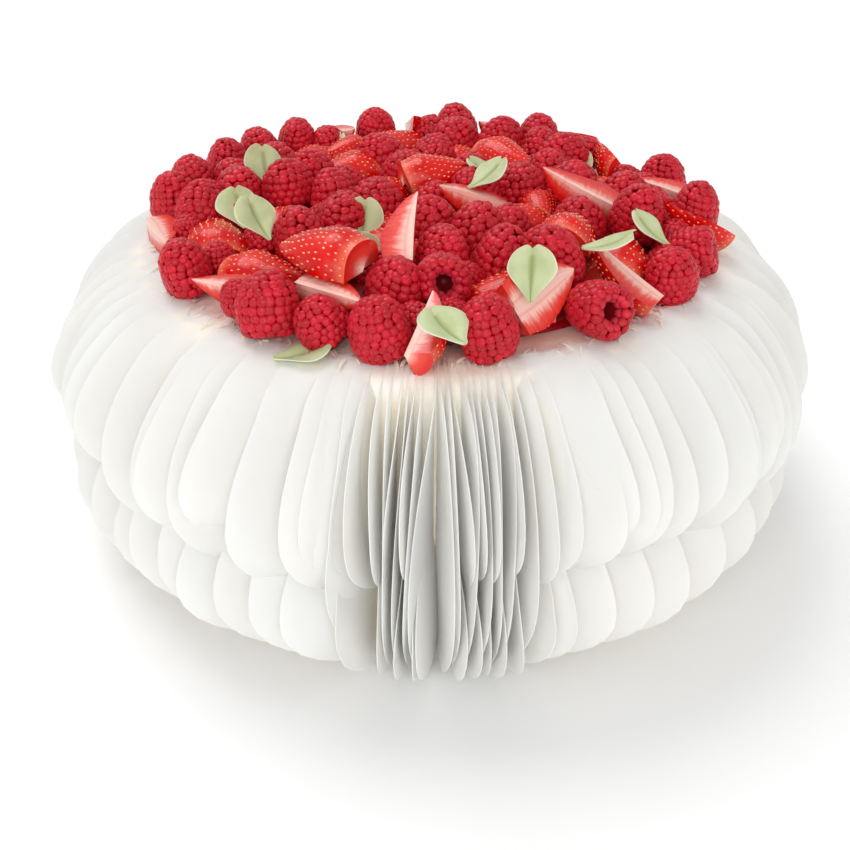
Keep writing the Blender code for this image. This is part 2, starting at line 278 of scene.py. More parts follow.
@dataclass
class Shape:
    """A mesh under construction: its points, its faces with their finish, and point values."""

    points: np.ndarray
    faces: list[tuple[np.ndarray, int]]
    values: dict[str, np.ndarray] = field(default_factory=dict)

    @classmethod
    def joined(cls, shapes: list["Shape"]) -> "Shape":
        """One shape that holds all of the given ones, which have the same kinds of values.

        Args:
            shapes: the shapes.

        Returns:
            The joined shape.
        """
        faces, start = [], 0
        for shape in shapes:
            faces += [(corners + start, finish) for corners, finish in shape.faces]
            start += len(shape.points)
        values = {k: np.concatenate([s.values[k] for s in shapes]) for k in shapes[0].values}
        return cls(np.concatenate([s.points for s in shapes]), faces, values)

    def turned(self, turn: Matrix) -> "Shape":
        """The same shape, rotated."""
        return Shape(self.points @ np.array(turn).T, self.faces, self.values)

    def fitted(self, low: Vector, high: Vector) -> "Shape":
        """The same shape, scaled evenly and moved to fill a box as well as it can.

        Args:
            low: the box's lowest corner.
            high: the box's highest corner.

        Returns:
            The fitted shape.
        """
        own_low, own_high = self.points.min(0), self.points.max(0)
        scale = float(np.mean(np.array(high - low) / (own_high - own_low)))
        centre = np.array((low + high) / 2)
        return Shape((self.points - (own_low + own_high) / 2) * scale + centre, self.faces, self.values)

    def placed(self, name: str, finishes: list[bpy.types.Material], crease: float = 50) -> bpy.types.Object:
        """Makes the object in the scene.

        Args:
            name: the object's name.
            finishes: the materials that the faces' finish numbers point to.
            crease: the angle in degrees above which an edge is drawn sharp.

        Returns:
            The new object.
        """
        mesh = bpy.data.meshes.new(name)
        sizes = np.concatenate([np.full(len(c), c.shape[1]) for c, _ in self.faces])
        corners = np.concatenate([c.ravel() for c, _ in self.faces]).astype(np.int32)
        mesh.vertices.add(len(self.points))
        mesh.vertices.foreach_set("co", self.points.astype(np.float32).ravel())
        mesh.loops.add(len(corners))
        mesh.loops.foreach_set("vertex_index", corners)
        mesh.polygons.add(len(sizes))
        mesh.polygons.foreach_set("loop_start", (np.cumsum(sizes) - sizes).astype(np.int32))
        finish = np.concatenate([np.full(len(c), number) for c, number in self.faces])
        mesh.polygons.foreach_set("material_index", finish.astype(np.int32))
        for key, value in self.values.items():
            mesh.attributes.new(key, "FLOAT", "POINT").data.foreach_set("value", value.astype(np.float32))
        mesh.update(calc_edges=True)
        mesh.validate()
        mesh.shade_smooth()
        mesh.set_sharp_from_angle(angle=math.radians(crease))
        for material in finishes:
            mesh.materials.append(material)
        made = bpy.data.objects.new(name, mesh)
        bpy.context.scene.collection.objects.link(made)
        return made


def settle(piece: bpy.types.Object, slot: str, *nodes: str) -> bpy.types.Object:
    """Fixes a finished piece to the cake, and hides and logs the CAD nodes that it stands for.

    Args:
        piece: the piece.
        slot: the name of its finish; not used.
        nodes: the CAD nodes that it replaces.

    Returns:
        The same piece.
    """
    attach(piece, BODY)
    if nodes:
        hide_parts(*nodes)
    LOG.info("%s: %d faces, for %s", piece.name, len(piece.data.polygons), ", ".join(nodes) or "nothing")
    return piece


# ---- Finishes -----------------------------------------------------------------------------


class Bench:
    """Adds and joins the shader nodes of one material or node group."""

    def __init__(self, tree: bpy.types.NodeTree) -> None:
        """Works on the given tree."""
        self.tree = tree

    def add(self, kind: str, inputs: dict | None = None, **settings: object) -> bpy.types.Node:
        """Adds a node.

        Args:
            kind: the node's type, without its ShaderNode prefix.
            inputs: what goes into its sockets, as values or as other nodes' outputs.
            settings: properties of the node itself.

        Returns:
            The new node.
        """
        node = self.tree.nodes.new("ShaderNode" + kind)
        for name, value in settings.items():
            setattr(node, name, value)
        for name, value in (inputs or {}).items():
            if isinstance(value, bpy.types.NodeSocket):
                self.tree.links.new(value, node.inputs[name])
            elif isinstance(value, tuple) and len(value) == 3 and node.inputs[name].type == "RGBA":
                node.inputs[name].default_value = (*value, 1)
            else:
                node.inputs[name].default_value = value
        return node

    def attribute(self, name: str) -> bpy.types.NodeSocket:
        """A value that the mesh carries at its points."""
        return self.add("Attribute", attribute_name=name).outputs["Fac"]

    def place(self) -> bpy.types.NodeSocket:
        """The point's place in the frame."""
        return self.add("TexCoord").outputs["Object"]

    def noise(self, vector: bpy.types.NodeSocket, scale: float, detail: float = 2) -> bpy.types.NodeSocket:
        """Soft noise from 0 to 1 at a scale of so many waves a metre."""
        return self.add("TexNoise", {"Vector": vector, "Scale": scale, "Detail": detail}).outputs["Fac"]

    def math(self, operation: str, *values: object) -> bpy.types.NodeSocket:
        """The result of a sum on values or sockets."""
        return self.add("Math", dict(enumerate(values)), operation=operation).outputs[0]

    def span(self, value: bpy.types.NodeSocket, low: float, high: float) -> bpy.types.NodeSocket:
        """Softly turns a value's run from low to high into 0 to 1.

        Args:
            value: the value.
            low: what becomes 0.
            high: what becomes 1.

        Returns:
            The value from 0 to 1.
        """
        node = self.add("MapRange", {"Value": value, "From Min": low, "From Max": high},
                        interpolation_type="SMOOTHSTEP")
        return node.outputs[0]

    def mix(self, share: object, first: object, second: object) -> bpy.types.NodeSocket:
        """Blends two colours.

        Args:
            share: how much there is of the second.
            first: the first colour.
            second: the second colour.

        Returns:
            The blend.
        """
        node = self.add("Mix", data_type="RGBA")
        for number, value in ((0, share), (6, first), (7, second)):
            if isinstance(value, bpy.types.NodeSocket):
                self.tree.links.new(value, node.inputs[number])
            elif isinstance(value, tuple):
                node.inputs[number].default_value = (*value, 1)
            else:
                node.inputs[number].default_value = value
        return node.outputs[2]

    def bump(self, height: bpy.types.NodeSocket, depth: float, strength: float = 1) -> bpy.types.NodeSocket:
        """A normal that makes a height from 0 to 1 look so many metres deep."""
        made = self.add("Bump", {"Height": height, "Distance": depth, "Strength": strength})
        return made.outputs["Normal"]

    def roughen(self, shader: bpy.types.Node, value: bpy.types.NodeSocket, low: float, high: float) -> None:
        """Lets a value from 0 to 1 run the shader's roughness from low to high."""
        rough = self.add("MapRange", {"Value": value, "To Min": low, "To Max": high})
        self.tree.links.new(rough.outputs[0], shader.inputs["Roughness"])

    def coat(self, shader: bpy.types.Node, colour: bpy.types.NodeSocket,
             normal: bpy.types.NodeSocket) -> None:
        """Gives the shader its colour and its fine relief."""
        self.tree.links.new(colour, shader.inputs["Base Color"])
        self.tree.links.new(normal, shader.inputs["Normal"])


def new_group(name: str, inputs: dict[str, float], outputs: dict[str, str]) -> tuple:
    """Starts a shader node group.

    Args:
        name: the group's name.
        inputs: its number inputs with their usual values.
        outputs: its outputs with their socket types.

    Returns:
        The group, a bench to build it on, its input node and its output node.
    """
    tree = bpy.data.node_groups.new(name, "ShaderNodeTree")
    for key, usual in inputs.items():
        socket = tree.interface.new_socket(key, in_out="INPUT", socket_type="NodeSocketFloat")
        socket.default_value = usual
    for key, kind in outputs.items():
        tree.interface.new_socket(key, in_out="OUTPUT", socket_type=kind)
    return tree, Bench(tree), tree.nodes.new("NodeGroupInput"), tree.nodes.new("NodeGroupOutput")


class Effects:
    """The effects that several finishes share, each built once as a node group."""

    def __init__(self) -> None:
        """Builds the groups."""
        self.grain = self.build_grain()
        self.juice = self.build_juice()

    @staticmethod
    def build_grain() -> bpy.types.NodeTree:
        """Fine uneven grain: a height for a bump, and a broad tone that drifts over the surface.

        Returns:
            The group.
        """
        tree, bench, given, result = new_group(
            "food_grain", {"Grain Scale": 1500, "Tone Scale": 60},
            {"Height": "NodeSocketFloat", "Tone": "NodeSocketFloat"})
        place = bench.place()
        fine = bench.noise(place, given.outputs["Grain Scale"], 3)
        broad = bench.noise(place, given.outputs["Tone Scale"], 2)
        tree.links.new(fine, result.inputs["Height"])
        tree.links.new(bench.span(broad, 0.32, 0.68), result.inputs["Tone"])
        return tree

    @staticmethod
    def build_juice() -> bpy.types.NodeTree:
        """Where berry juice has crept out from under the heap, as a patchy mask.

        Returns:
            The group.
        """
        tree, bench, given, result = new_group(
            "berry_juice", {"Reach": 0.103, "Patch Scale": 220}, {"Mask": "NodeSocketFloat"})
        place = bench.place()
        parts = bench.add("SeparateXYZ", {"Vector": place})
        across = bench.math("POWER", parts.outputs["X"], 2.0)
        deep = bench.math("POWER", parts.outputs["Y"], 2.0)
        away = bench.math("SQRT", bench.math("ADD", across, deep))
        patches = bench.noise(place, given.outputs["Patch Scale"], 3)
        worn = bench.math("ADD", away, bench.math("MULTIPLY", bench.math("SUBTRACT", 0.5, patches), 0.016))
        short = bench.math("SUBTRACT", given.outputs["Reach"], worn)
        high = bench.span(parts.outputs["Z"], 0.100, 0.1025)
        mask = bench.math("MULTIPLY", bench.span(short, 0.0, 0.006), high)
        tree.links.new(mask, result.inputs["Mask"])
        return tree

    @staticmethod
    def use(bench: Bench, group: bpy.types.NodeTree, **values: float) -> bpy.types.Node:
        """Places a group in a material with its own values.

        Args:
            bench: the material's bench.
            group: the group.
            values: its inputs, with underscores for spaces.

        Returns:
            The group's node.
        """
        node = bench.tree.nodes.new("ShaderNodeGroup")
        node.node_tree = group
        for key, value in values.items():
            node.inputs[key.replace("_", " ").title()].default_value = value
        return node


def new_finish(name: str, **settings: object) -> tuple[bpy.types.Material, Bench, bpy.types.Node]:
    """A material with one Principled shader.

    Args:
        name: the material's name.
        settings: plain values for the shader's sockets, with underscores for spaces.

    Returns:
        The material, a bench on its tree, and its shader.
    """
    made = bpy.data.materials.new(name)
    made.use_nodes = True
    shader = made.node_tree.nodes["Principled BSDF"]
    for key, value in settings.items():
        socket = shader.inputs[key.replace("_", " ")]
        socket.default_value = (*value, 1) if socket.type == "RGBA" and len(value) == 3 else value
    return made, Bench(made.node_tree), shader


@dataclass(frozen=True)
class WaferFinish:
    """Thin wafer paper: matt, milky and slightly see-through, ivory towards its root as painted warm shade
    for the deep gaps between the sheets.
    """

    edge: Colour = paint(253, 253, 252)
    # painted warm shade: the ivory that the sheets take towards their roots, deep between them
    root: Colour = paint(253, 247, 229)
    stain: Colour = paint(238, 200, 190)
    glow: float = 0.5  # the share of the light that passes through

    def build(self, effects: Effects) -> bpy.types.Material:
        """Makes the material.

        Args:
            effects: the effects that the finishes share.

        Returns:
            The material.
        """
        made, bench, shader = new_finish(
            "wafer_paper", Specular_IOR_Level=0.25, Sheen_Weight=0.05, Sheen_Roughness=0.5)
        grain = effects.use(bench, effects.grain, Grain_Scale=1400, Tone_Scale=45)
        reach = bench.attribute("reach")
        # Painted warm shade: ivory towards the roots, deep between the sheets, and white towards the free
        # edges.
        colour = bench.mix(bench.span(reach, 0.05, 0.6), self.root, self.edge)
        tint = bench.math("MULTIPLY", bench.attribute("tone"), 0.08)
        colour = bench.mix(tint, colour, self.root)
        juice = effects.use(bench, effects.juice, Reach=0.1015, Patch_Scale=260)
        colour = bench.mix(bench.math("MULTIPLY", juice.outputs["Mask"], 0.5), colour, self.stain)
        bench.roughen(shader, grain.outputs["Tone"], 0.48, 0.62)
        bench.coat(shader, colour, bench.bump(grain.outputs["Height"], 0.05 * MM, 0.5))
        glow = bench.add("BsdfTranslucent", {"Color": colour})
        blend = bench.add("MixShader", {"Fac": self.glow})
        bench.tree.links.new(shader.outputs["BSDF"], blend.inputs[1])
        bench.tree.links.new(glow.outputs["BSDF"], blend.inputs[2])
        bench.tree.links.new(blend.outputs[0], bench.tree.nodes["Material Output"].inputs["Surface"])
        return made


@dataclass(frozen=True)
class CreamFinish:
    """Whipped cream: satin, ivory, with spatula drag marks and pink juice by the berries."""

    name: str
    body: Colour = paint(252, 248, 239)
    hollow: Colour = paint(248, 239, 218)
    stain: Colour = paint(232, 160, 150)

    def build(self, effects: Effects) -> bpy.types.Material:
        """Makes the material.

        Args:
            effects: the effects that the finishes share.

        Returns:
            The material.
        """
        made, bench, shader = new_finish(
            self.name, Subsurface_Weight=0.25, Subsurface_Radius=(1.0, 0.85, 0.65),
            Subsurface_Scale=0.004, Specular_IOR_Level=0.45, Coat_Weight=0.08, Coat_Roughness=0.3)
        grain = effects.use(bench, effects.grain, Grain_Scale=420, Tone_Scale=90)
        colour = bench.mix(grain.outputs["Tone"], self.hollow, self.body)
        juice = effects.use(bench, effects.juice, Reach=0.1000, Patch_Scale=300)
        colour = bench.mix(bench.math("MULTIPLY", juice.outputs["Mask"], 0.5), colour, self.stain)
        bench.roughen(shader, grain.outputs["Tone"], 0.38, 0.55)
        bench.coat(shader, colour, bench.bump(grain.outputs["Height"], 0.5 * MM, 0.6))
        return made


@dataclass(frozen=True)
class RaspberryFinish:
    """Raspberry skin: deep crimson beads under a pale velvety bloom, with painted shade in the creases
    between the beads.
    """

    name: str
    bead: Colour = paint(212, 10, 40)
    dark: Colour = paint(176, 0, 22)
    # painted shade for the creases between the beads and for the dark body under them
    crease: Colour = paint(104, 0, 8)
    bloom: Colour = paint(240, 150, 160)
    inside: Colour = paint(216, 60, 80)

    def build(self, effects: Effects) -> bpy.types.Material:
        """Makes the material.

        Args:
            effects: the effects that the finishes share.

        Returns:
            The material.
        """
        made, bench, shader = new_finish(
            self.name, Subsurface_Weight=0.22, Subsurface_Radius=(1.0, 0.12, 0.12),
            Subsurface_Scale=0.0018, Specular_IOR_Level=0.22, Sheen_Weight=0.04, Sheen_Roughness=0.4,
            Sheen_Tint=(1.0, 0.6, 0.64, 1.0), Coat_Weight=0.10, Coat_Roughness=0.15)
        grain = effects.use(bench, effects.grain, Grain_Scale=2600, Tone_Scale=70)
        colour = bench.mix(bench.attribute("tone"), self.dark, self.bead)
        colour = bench.mix(bench.math("MULTIPLY", grain.outputs["Tone"], 0.35), colour, self.dark)
        speck = bench.span(bench.noise(bench.place(), 1900, 4), 0.56, 0.74)
        height = bench.attribute("height")
        frost = bench.math("ADD", bench.math("MULTIPLY", speck, 0.30), 0.02)
        frosted = bench.math("MULTIPLY", bench.span(height, 0.45, 1.0), frost)
        colour = bench.mix(frosted, colour, self.bloom)
        colour = bench.mix(bench.math("MULTIPLY", bench.attribute("hollow"), 0.75), colour, self.inside)
        # Painted shade: the colour darkens to the crease colour where the height above the creases is low.
        colour = bench.mix(bench.span(height, 0.50, 0.05), colour, self.crease)
        bench.roughen(shader, speck, 0.30, 0.55)
        bench.coat(shader, colour, bench.bump(grain.outputs["Height"], 0.16 * MM, 0.7))
        return made


@dataclass(frozen=True)
class StrawberrySkinFinish:
    """Strawberry skin: glossy bright red, paler by the trimmed shoulder."""

    ripe: Colour = paint(206, 2, 8)
    bright: Colour = paint(224, 12, 12)
    shoulder: Colour = paint(240, 120, 92)

    def build(self, effects: Effects) -> bpy.types.Material:
        """Makes the material.

        Args:
            effects: the effects that the finishes share.

        Returns:
            The material.
        """
        made, bench, shader = new_finish(
            "strawberry_skin", Subsurface_Weight=0.08, Subsurface_Radius=(1.0, 0.15, 0.08),
            Subsurface_Scale=0.002, Specular_IOR_Level=0.3, Coat_Weight=0.14, Coat_Roughness=0.12)
        grain = effects.use(bench, effects.grain, Grain_Scale=1100, Tone_Scale=110)
        colour = bench.mix(grain.outputs["Tone"], self.ripe, self.bright)
        pale = bench.math("MULTIPLY", bench.span(bench.attribute("along"), 0.16, 0.0), 0.7)
        colour = bench.mix(pale, colour, self.shoulder)
        colour = bench.mix(bench.span(bench.attribute("dimple"), 0.25, 1.0), colour, self.bright)
        bench.roughen(shader, grain.outputs["Tone"], 0.22, 0.36)
        bench.coat(shader, colour, bench.bump(grain.outputs["Height"], 0.12 * MM, 0.6))
        return made


@dataclass(frozen=True)
class StrawberryFleshFinish:
    """A strawberry's moist cut face: a pale heart, pale streaks, and red towards the skin."""

    heart: Colour = paint(248, 202, 188)
    flesh: Colour = paint(230, 66, 52)
    rim: Colour = paint(214, 14, 10)

    def build(self, effects: Effects) -> bpy.types.Material:
        """Makes the material.

        Args:
            effects: the effects that the finishes share.

        Returns:
            The material.
        """
        made, bench, shader = new_finish(
            "strawberry_flesh", Subsurface_Weight=0.25, Subsurface_Radius=(1.0, 0.3, 0.2),
            Subsurface_Scale=0.0025, Specular_IOR_Level=0.5, Coat_Weight=0.25, Coat_Roughness=0.2)
        grain = effects.use(bench, effects.grain, Grain_Scale=900, Tone_Scale=300)
        core, along = bench.attribute("core"), bench.attribute("along")
        pale = bench.attribute("pale")
        spokes = bench.add("CombineXYZ", {
            "X": bench.math("MULTIPLY", along, 26.0), "Y": bench.math("MULTIPLY", core, 2.2), "Z": pale})
        streak = bench.noise(spokes.outputs[0], 1.0, 2)
        drift = bench.math("MULTIPLY", bench.math("SUBTRACT", streak, 0.5), 0.5)
        ripe = bench.math("ADD", core, bench.math("ADD", drift, bench.math("MULTIPLY", pale, -0.28)))
        colour = bench.mix(bench.span(ripe, 0.05, 0.52), self.heart, self.flesh)
        colour = bench.mix(bench.span(ripe, 0.50, 0.86), colour, self.rim)
        ring = bench.math("MULTIPLY", bench.span(core, 0.34, 0.26), bench.span(core, 0.16, 0.24))
        colour = bench.mix(bench.math("MULTIPLY", ring, 0.30), colour, self.flesh)
        bench.roughen(shader, streak, 0.24, 0.42)
        fine = bench.math("MULTIPLY", grain.outputs["Height"], 0.3)
        relief = bench.math("ADD", bench.math("MULTIPLY", streak, 0.7), fine)
        bench.coat(shader, colour, bench.bump(relief, 0.35 * MM, 0.6))
        return made


@dataclass(frozen=True)
class SeedFinish:
    """Strawberry seeds: dry gold to straw."""

    light: Colour = paint(250, 206, 140)
    dark: Colour = paint(232, 140, 84)

    def build(self, effects: Effects) -> bpy.types.Material:
        """Makes the material.

        Args:
            effects: the effects that the finishes share.

        Returns:
            The material.
        """
        made, bench, shader = new_finish("strawberry_seed", Specular_IOR_Level=0.5)
        grain = effects.use(bench, effects.grain, Grain_Scale=4000, Tone_Scale=400)
        colour = bench.mix(grain.outputs["Tone"], self.dark, self.light)
        bench.tree.links.new(colour, shader.inputs["Base Color"])
        bench.roughen(shader, grain.outputs["Height"], 0.25, 0.5)
        return made


@dataclass(frozen=True)
class LeafFinish:
    """Sugar paste leaf: pale sage, powdery, lighter along its thin edge."""

    blade: Colour = paint(196, 206, 160)
    rib: Colour = paint(158, 170, 112)
    edge: Colour = paint(232, 238, 214)

    def build(self, effects: Effects) -> bpy.types.Material:
        """Makes the material.

        Args:
            effects: the effects that the finishes share.

        Returns:
            The material.
        """
        made, bench, shader = new_finish(
            "sugar_leaf", Subsurface_Weight=0.2, Subsurface_Radius=(0.8, 1.0, 0.5),
            Subsurface_Scale=0.0015, Specular_IOR_Level=0.3, Sheen_Weight=0.1, Sheen_Roughness=0.5)
        grain = effects.use(bench, effects.grain, Grain_Scale=1800, Tone_Scale=160)
        rim = bench.attribute("rim")
        colour = bench.mix(bench.math("MULTIPLY", grain.outputs["Tone"], 0.35), self.blade, self.rib)
        colour = bench.mix(bench.span(rim, 0.22, 0.0), colour, self.rib)
        colour = bench.mix(bench.math("MULTIPLY", bench.span(rim, 0.90, 1.0), 0.7), colour, self.edge)
        bench.roughen(shader, grain.outputs["Tone"], 0.5, 0.68)
        bench.coat(shader, colour, bench.bump(grain.outputs["Height"], 0.12 * MM, 0.5))
        return made


@dataclass(frozen=True)
class FloorFinish:
    """A plain pale studio floor."""

    tone: Colour = paint(252, 252, 252)

    def build(self, effects: Effects) -> bpy.types.Material:
        """Makes the material.

        Args:
            effects: the effects that the finishes share.

        Returns:
            The material.
        """
        made, bench, shader = new_finish("studio_floor", Specular_IOR_Level=0.2, Base_Color=self.tone)
        grain = effects.use(bench, effects.grain, Grain_Scale=500, Tone_Scale=3)
        bench.roughen(shader, grain.outputs["Tone"], 0.65, 0.75)
        return made


# ---- The petals ---------------------------------------------------------------------------


@dataclass(frozen=True)
class FrontSheet:
    """A sheet of the opening at the front, where the ruff stands open like a book."""

    root: float  # azimuth of its root, degrees
    edge: float  # azimuth of its free edge at half height, degrees
    foot: float  # height of its lower end, metres


FRONT_SHEETS = tuple(FrontSheet(*sheet) for sheet in (
    (-11.5, -12.2, 0.004), (-9.4, -10.0, 0.030), (-7.4, -7.6, 0.034), (-5.9, -6.3, 0.004),
    (-4.9, -5.2, 0.036), (-3.9, -4.4, 0.003), (-2.6, -3.7, 0.038), (-1.2, -3.2, 0.003),
    (0.4, -2.7, 0.002), (0.7, 3.2, 0.002), (1.9, 3.6, 0.004), (2.9, 4.5, 0.034), (4.0, 5.4, 0.003),
    (5.2, 6.1, 0.036), (6.2, 7.2, 0.003), (7.2, 7.7, 0.034), (8.3, 8.4, 0.004), (9.6, 9.9, 0.003),
    (10.8, 10.9, 0.036), (12.6, 12.6, 0.004), (14.6, 14.2, 0.030),
))
# How a swept sheet curves from its free edge back to its root, in millimetres: how far along the
# ring towards the front, and how far in towards the cake.
SWEPT_ALONG = (0.0, 0.8, 2.2, 4.6, 8.0, 12.0, 16.0, 19.5, 22.5, 24.6, 25.8, 26.5)
SWEPT_IN = (0.0, 0.3, 0.9, 1.9, 3.1, 4.5, 6.6, 9.8, 14.5, 21.0, 29.5, 39.0)
PETAL_RADIUS = 0.141  # how far out the petals reach
COAT_RADIUS = 0.118  # how far out the cream between them reaches


@dataclass
class PetalTier:
    """One tier of thin wafer petals, open at the front and swept back over each other elsewhere."""

    name: str
    node: str
    seed: int
    reach: float
    top: float
    bottom: float
    root_bottom: float
    ragged: float  # how far the petals' lower ends differ in height
    root_radius: float = 0.1014
    inward: float = 0.0  # how far the tops run in over the cake
    spacing: float = 4.3  # degrees between petals
    open_from: float = -12.0
    open_to: float = 16.5
    skew: float = 0.2  # above 0, a petal is fuller below its middle
    point: float = 0.3  # how slender the lower ends are
    tip: float = 2.2  # how pointed the swept sheets' lower ends are
    corner: float = 0.02  # how much of the outline is cut off below, which makes it pointed
    thickness: float = 0.42 * MM
    rows: int = 24

    def build(self, finish: bpy.types.Material) -> bpy.types.Object:
        """Makes the tier.

        Args:
            finish: its material.

        Returns:
            The finished piece.
        """
        shapes = [self.petal(number, *pose) for number, pose in enumerate(self.poses())]
        made = Shape.joined(shapes).placed(self.name, [finish], crease=60)
        return settle(made, "wafer", self.node)

    def poses(self) -> list[tuple[float, float, float]]:
        """Each petal's root and edge azimuths in degrees, and the height of its lower end.

        Returns:
            One row for each petal.
        """
        found = []
        if self.inward:
            found += [(sheet.root, sheet.edge, sheet.foot) for sheet in FRONT_SHEETS]
        else:
            found += [(sheet.root + 0.9, sheet.edge + 0.8, self.bottom) for sheet in FRONT_SHEETS[::2]]
        at, end, number = self.open_to, 360 + self.open_from, 0
        while at < end:
            low = self.bottom + self.ragged * jitter(number, self.seed + 11)
            found.append((at, at, low))
            close = 1 + 0.85 * jitter(number, self.seed + 12)
            behind = smooth((15 - abs(at - 180)) / 8)
            at += self.spacing * max(0.22, close) * (1 - behind) + 1.9 * behind
            number += 1
        return found

    def petal(self, number: int, root: float, edge: float, low: float) -> Shape:
        """One petal: a thin sheet with a rounded outline.

        Args:
            number: its place in the tier, which all its small differences depend on.
            root: where its root stands, in degrees.
            edge: where its free edge stands at half height, in degrees.
            low: the height of its lower end.

        Returns:
            The closed sheet, with how far each point is from the root and the petal's own tone.
        """
        own = [jitter(number, self.seed + salt) for salt in range(1, 10)]
        away = (root + 180) % 360 - 180
        swept = smooth((abs(away - 2) - 9) / 10) * smooth((181 - abs(away)) / 14)
        columns = len(SWEPT_ALONG)
        v = np.linspace(0, 1, self.rows + 1)[:, None]
        end = 1 - (0.2 if low < 0.02 else 0.14) * (1 - swept) - self.corner * swept
        turn = math.pi * end * (v + 0.02 * own[0] * np.sin(math.pi * v))
        curve_in = np.array(SWEPT_IN)[::-1] / SWEPT_IN[-1]
        flat = np.linspace(0, 1, columns) ** 0.85
        u = (flat + (1 - curve_in - flat) * swept)[None, :]
        along = (np.array(SWEPT_ALONG)[::-1] * MM * swept)[None, :]
        long = smooth((0.03 - low) / 0.02) if self.inward else 0.0
        lens = 1 - np.abs(np.cos(turn)) ** 1.7
        pointed = self.point * smooth((v - 0.5) / 0.3)
        swell = np.sin(turn) ** (1 - 0.3 * long) * (1 - pointed) + lens * pointed
        swell = swell * (1 - (self.skew + 0.05 * own[3]) * np.cos(turn))
        reach = self.reach * (1 + 0.02 * own[1] - 0.03 * max(0.0, own[2]))
        top = self.top - (0.0 if self.inward else 0.004 * (1 + own[5]))
        low = max(0.0014, low)
        foot = max(low + 0.006 * (1 - swept), self.root_bottom + low - self.bottom)
        fall = (1 - np.cos(turn)) / (1 - math.cos(math.pi * end))
        outer_z = top - (top - low) * fall
        root_z = top - (top - foot) * fall
        base = self.root_radius - self.inward * (1 - smooth(v / 0.2))
        outer = base + np.maximum(2.2 * MM, reach * swell + self.inward * (1 - smooth(v / 0.2)) * 0.6)
        radius = base + (outer - base) * u
        z = root_z + (outer_z - root_z) * u**0.9
        sign = math.copysign(1, away)
        hold = 0.78 * (1 - smooth(v / 0.5))
        ends = hold + (1 - hold) * np.sin(turn) ** np.where(v < 0.5, 0.85, self.tip)
        back = sign * (along.max() - along) * ends if swept > 0 else 0 * u * v
        wave = math.sin(math.radians(away * 9 + 50 * self.seed))
        drift = ((0.9 + 1.5 * swept) * own[6] + 0.9 * swept * wave) * (1 - 0.35 * swept)
        shift = math.radians(edge - root) * PETAL_RADIUS * np.sin(turn) ** 0.8
        free = np.clip((u - 0.36) / 0.64, 0, 1) ** 1.15
        bend = (drift * MM * u**1.4 + shift * free) * np.sin(turn) ** 0.6 + back
        bend = bend + 1.5 * own[7] * MM * u**2 * np.sin(2 * turn) + 1.4 * own[8] * MM * u**2 * (v - 0.5)
        bend = bend + 0.5 * MM * (1 - swept) * u**2 * np.sin(3 * turn + 6 * own[4])
        start = math.radians(root) - sign * (along.max() * 0.80 / PETAL_RADIUS)
        angle = start + bend / np.maximum(radius, COAT_RADIUS)
        centre = around(radius, angle, z)
        across = np.gradient(centre, axis=1)
        down = np.gradient(centre, axis=0)
        side = np.cross(across, down)
        side /= np.maximum(np.linalg.norm(side, axis=-1, keepdims=True), 1e-12)
        side[0], side[-1] = side[1], side[-2]
        thin = self.thickness / 2 * (1 - 0.4 * flat[None, :, None] ** 3)
        front = (centre + side * thin).reshape(-1, 3)
        rear = (centre - side * thin).reshape(-1, 3)
        # reach runs from the root, 0, to the free edge, 1, and sets how much of the painted warm root shade
        # a point takes; the top rows take little
        return sheet_shape(front, rear, self.rows + 1, columns, {
            "reach": np.maximum(flat[None, :], 0.75 * (1 - smooth(v / 0.3))).ravel(),
            "tone": np.full(front.shape[0], (own[0] + 1) / 2)})


def sheet_shape(front: np.ndarray, rear: np.ndarray, rows: int, columns: int, values: dict) -> Shape:
    """A closed thin sheet from its two sides.

    Args:
        front: the points of one side, row by row.
        rear: the matching points of the other side.
        rows: how many rows each side has.
        columns: how many points a row has.
        values: point values of one side, which the other side shares.

    Returns:
        The sheet, closed all round its edge.
    """
    count = rows * columns
    facing = grid_faces(rows, columns)
    border = np.concatenate([
        np.arange(columns), columns * np.arange(1, rows) + columns - 1,
        count - columns + np.arange(columns - 2, -1, -1), columns * np.arange(rows - 2, 0, -1)])
    rim = band_faces(border, border + count)[:, ::-1]
    faces = [(facing, 0), (facing[:, ::-1] + count, 0), (rim, 0)]
    return Shape(np.concatenate([front, rear]), faces, {k: np.tile(x, 2) for k, x in values.items()})


def ring_shape(first: np.ndarray, second: np.ndarray) -> Shape:
    """A closed ring round the cake from its two sides.

    Args:
        first: the points of the outer or lower side, as rows round the axis.
        second: the matching points of the other side.

    Returns:
        The ring, closed where its first rows and its last rows meet.
    """
    rows, columns = first.shape[:2]
    count = rows * columns
    faces = grid_faces(rows, columns, wrap=True)
    start = np.arange(columns)
    end = start + count - columns
    return Shape(np.concatenate([first.reshape(-1, 3), second.reshape(-1, 3)]), [
        (faces, 0), (faces[:, ::-1] + count, 0),
        (band_faces(start, start + count)[:, ::-1], 0), (band_faces(end, end + count), 0)])


@dataclass
class CreamBelly:
    """The rounded coat of cream that the petals are stuck in."""

    waist: float = 0.1012
    bulge: float = 0.0165
    inside: float = 0.0990
    bottom: float = 0.0030
    top: float = 0.1040
    rows: int = 24
    columns: int = 200

    def build(self, finish: bpy.types.Material) -> bpy.types.Object:
        """Makes the coat as a closed ring round the cake.

        Args:
            finish: its material.

        Returns:
            The finished piece.
        """
        turn = np.linspace(0, 2 * math.pi, self.columns, endpoint=False)[None, :]
        rise = math.pi * np.linspace(0, 1, self.rows + 1)[:, None]
        drag = 0.5 * np.sin(23 * turn + 2 * np.sin(5 * turn) + 2 * rise) + 0.5 * np.sin(41 * turn - rise)
        radius = self.waist + (self.bulge + 1.2 * MM * drag) * np.maximum(np.sin(rise), 0) ** 0.62
        z = (self.bottom + self.top) / 2 - (self.top - self.bottom) / 2 * np.cos(rise) + 0 * turn
        shape = ring_shape(around(radius, turn, z), around(self.inside, turn, z))
        return settle(shape.placed("cream_belly", [finish]), "cream")


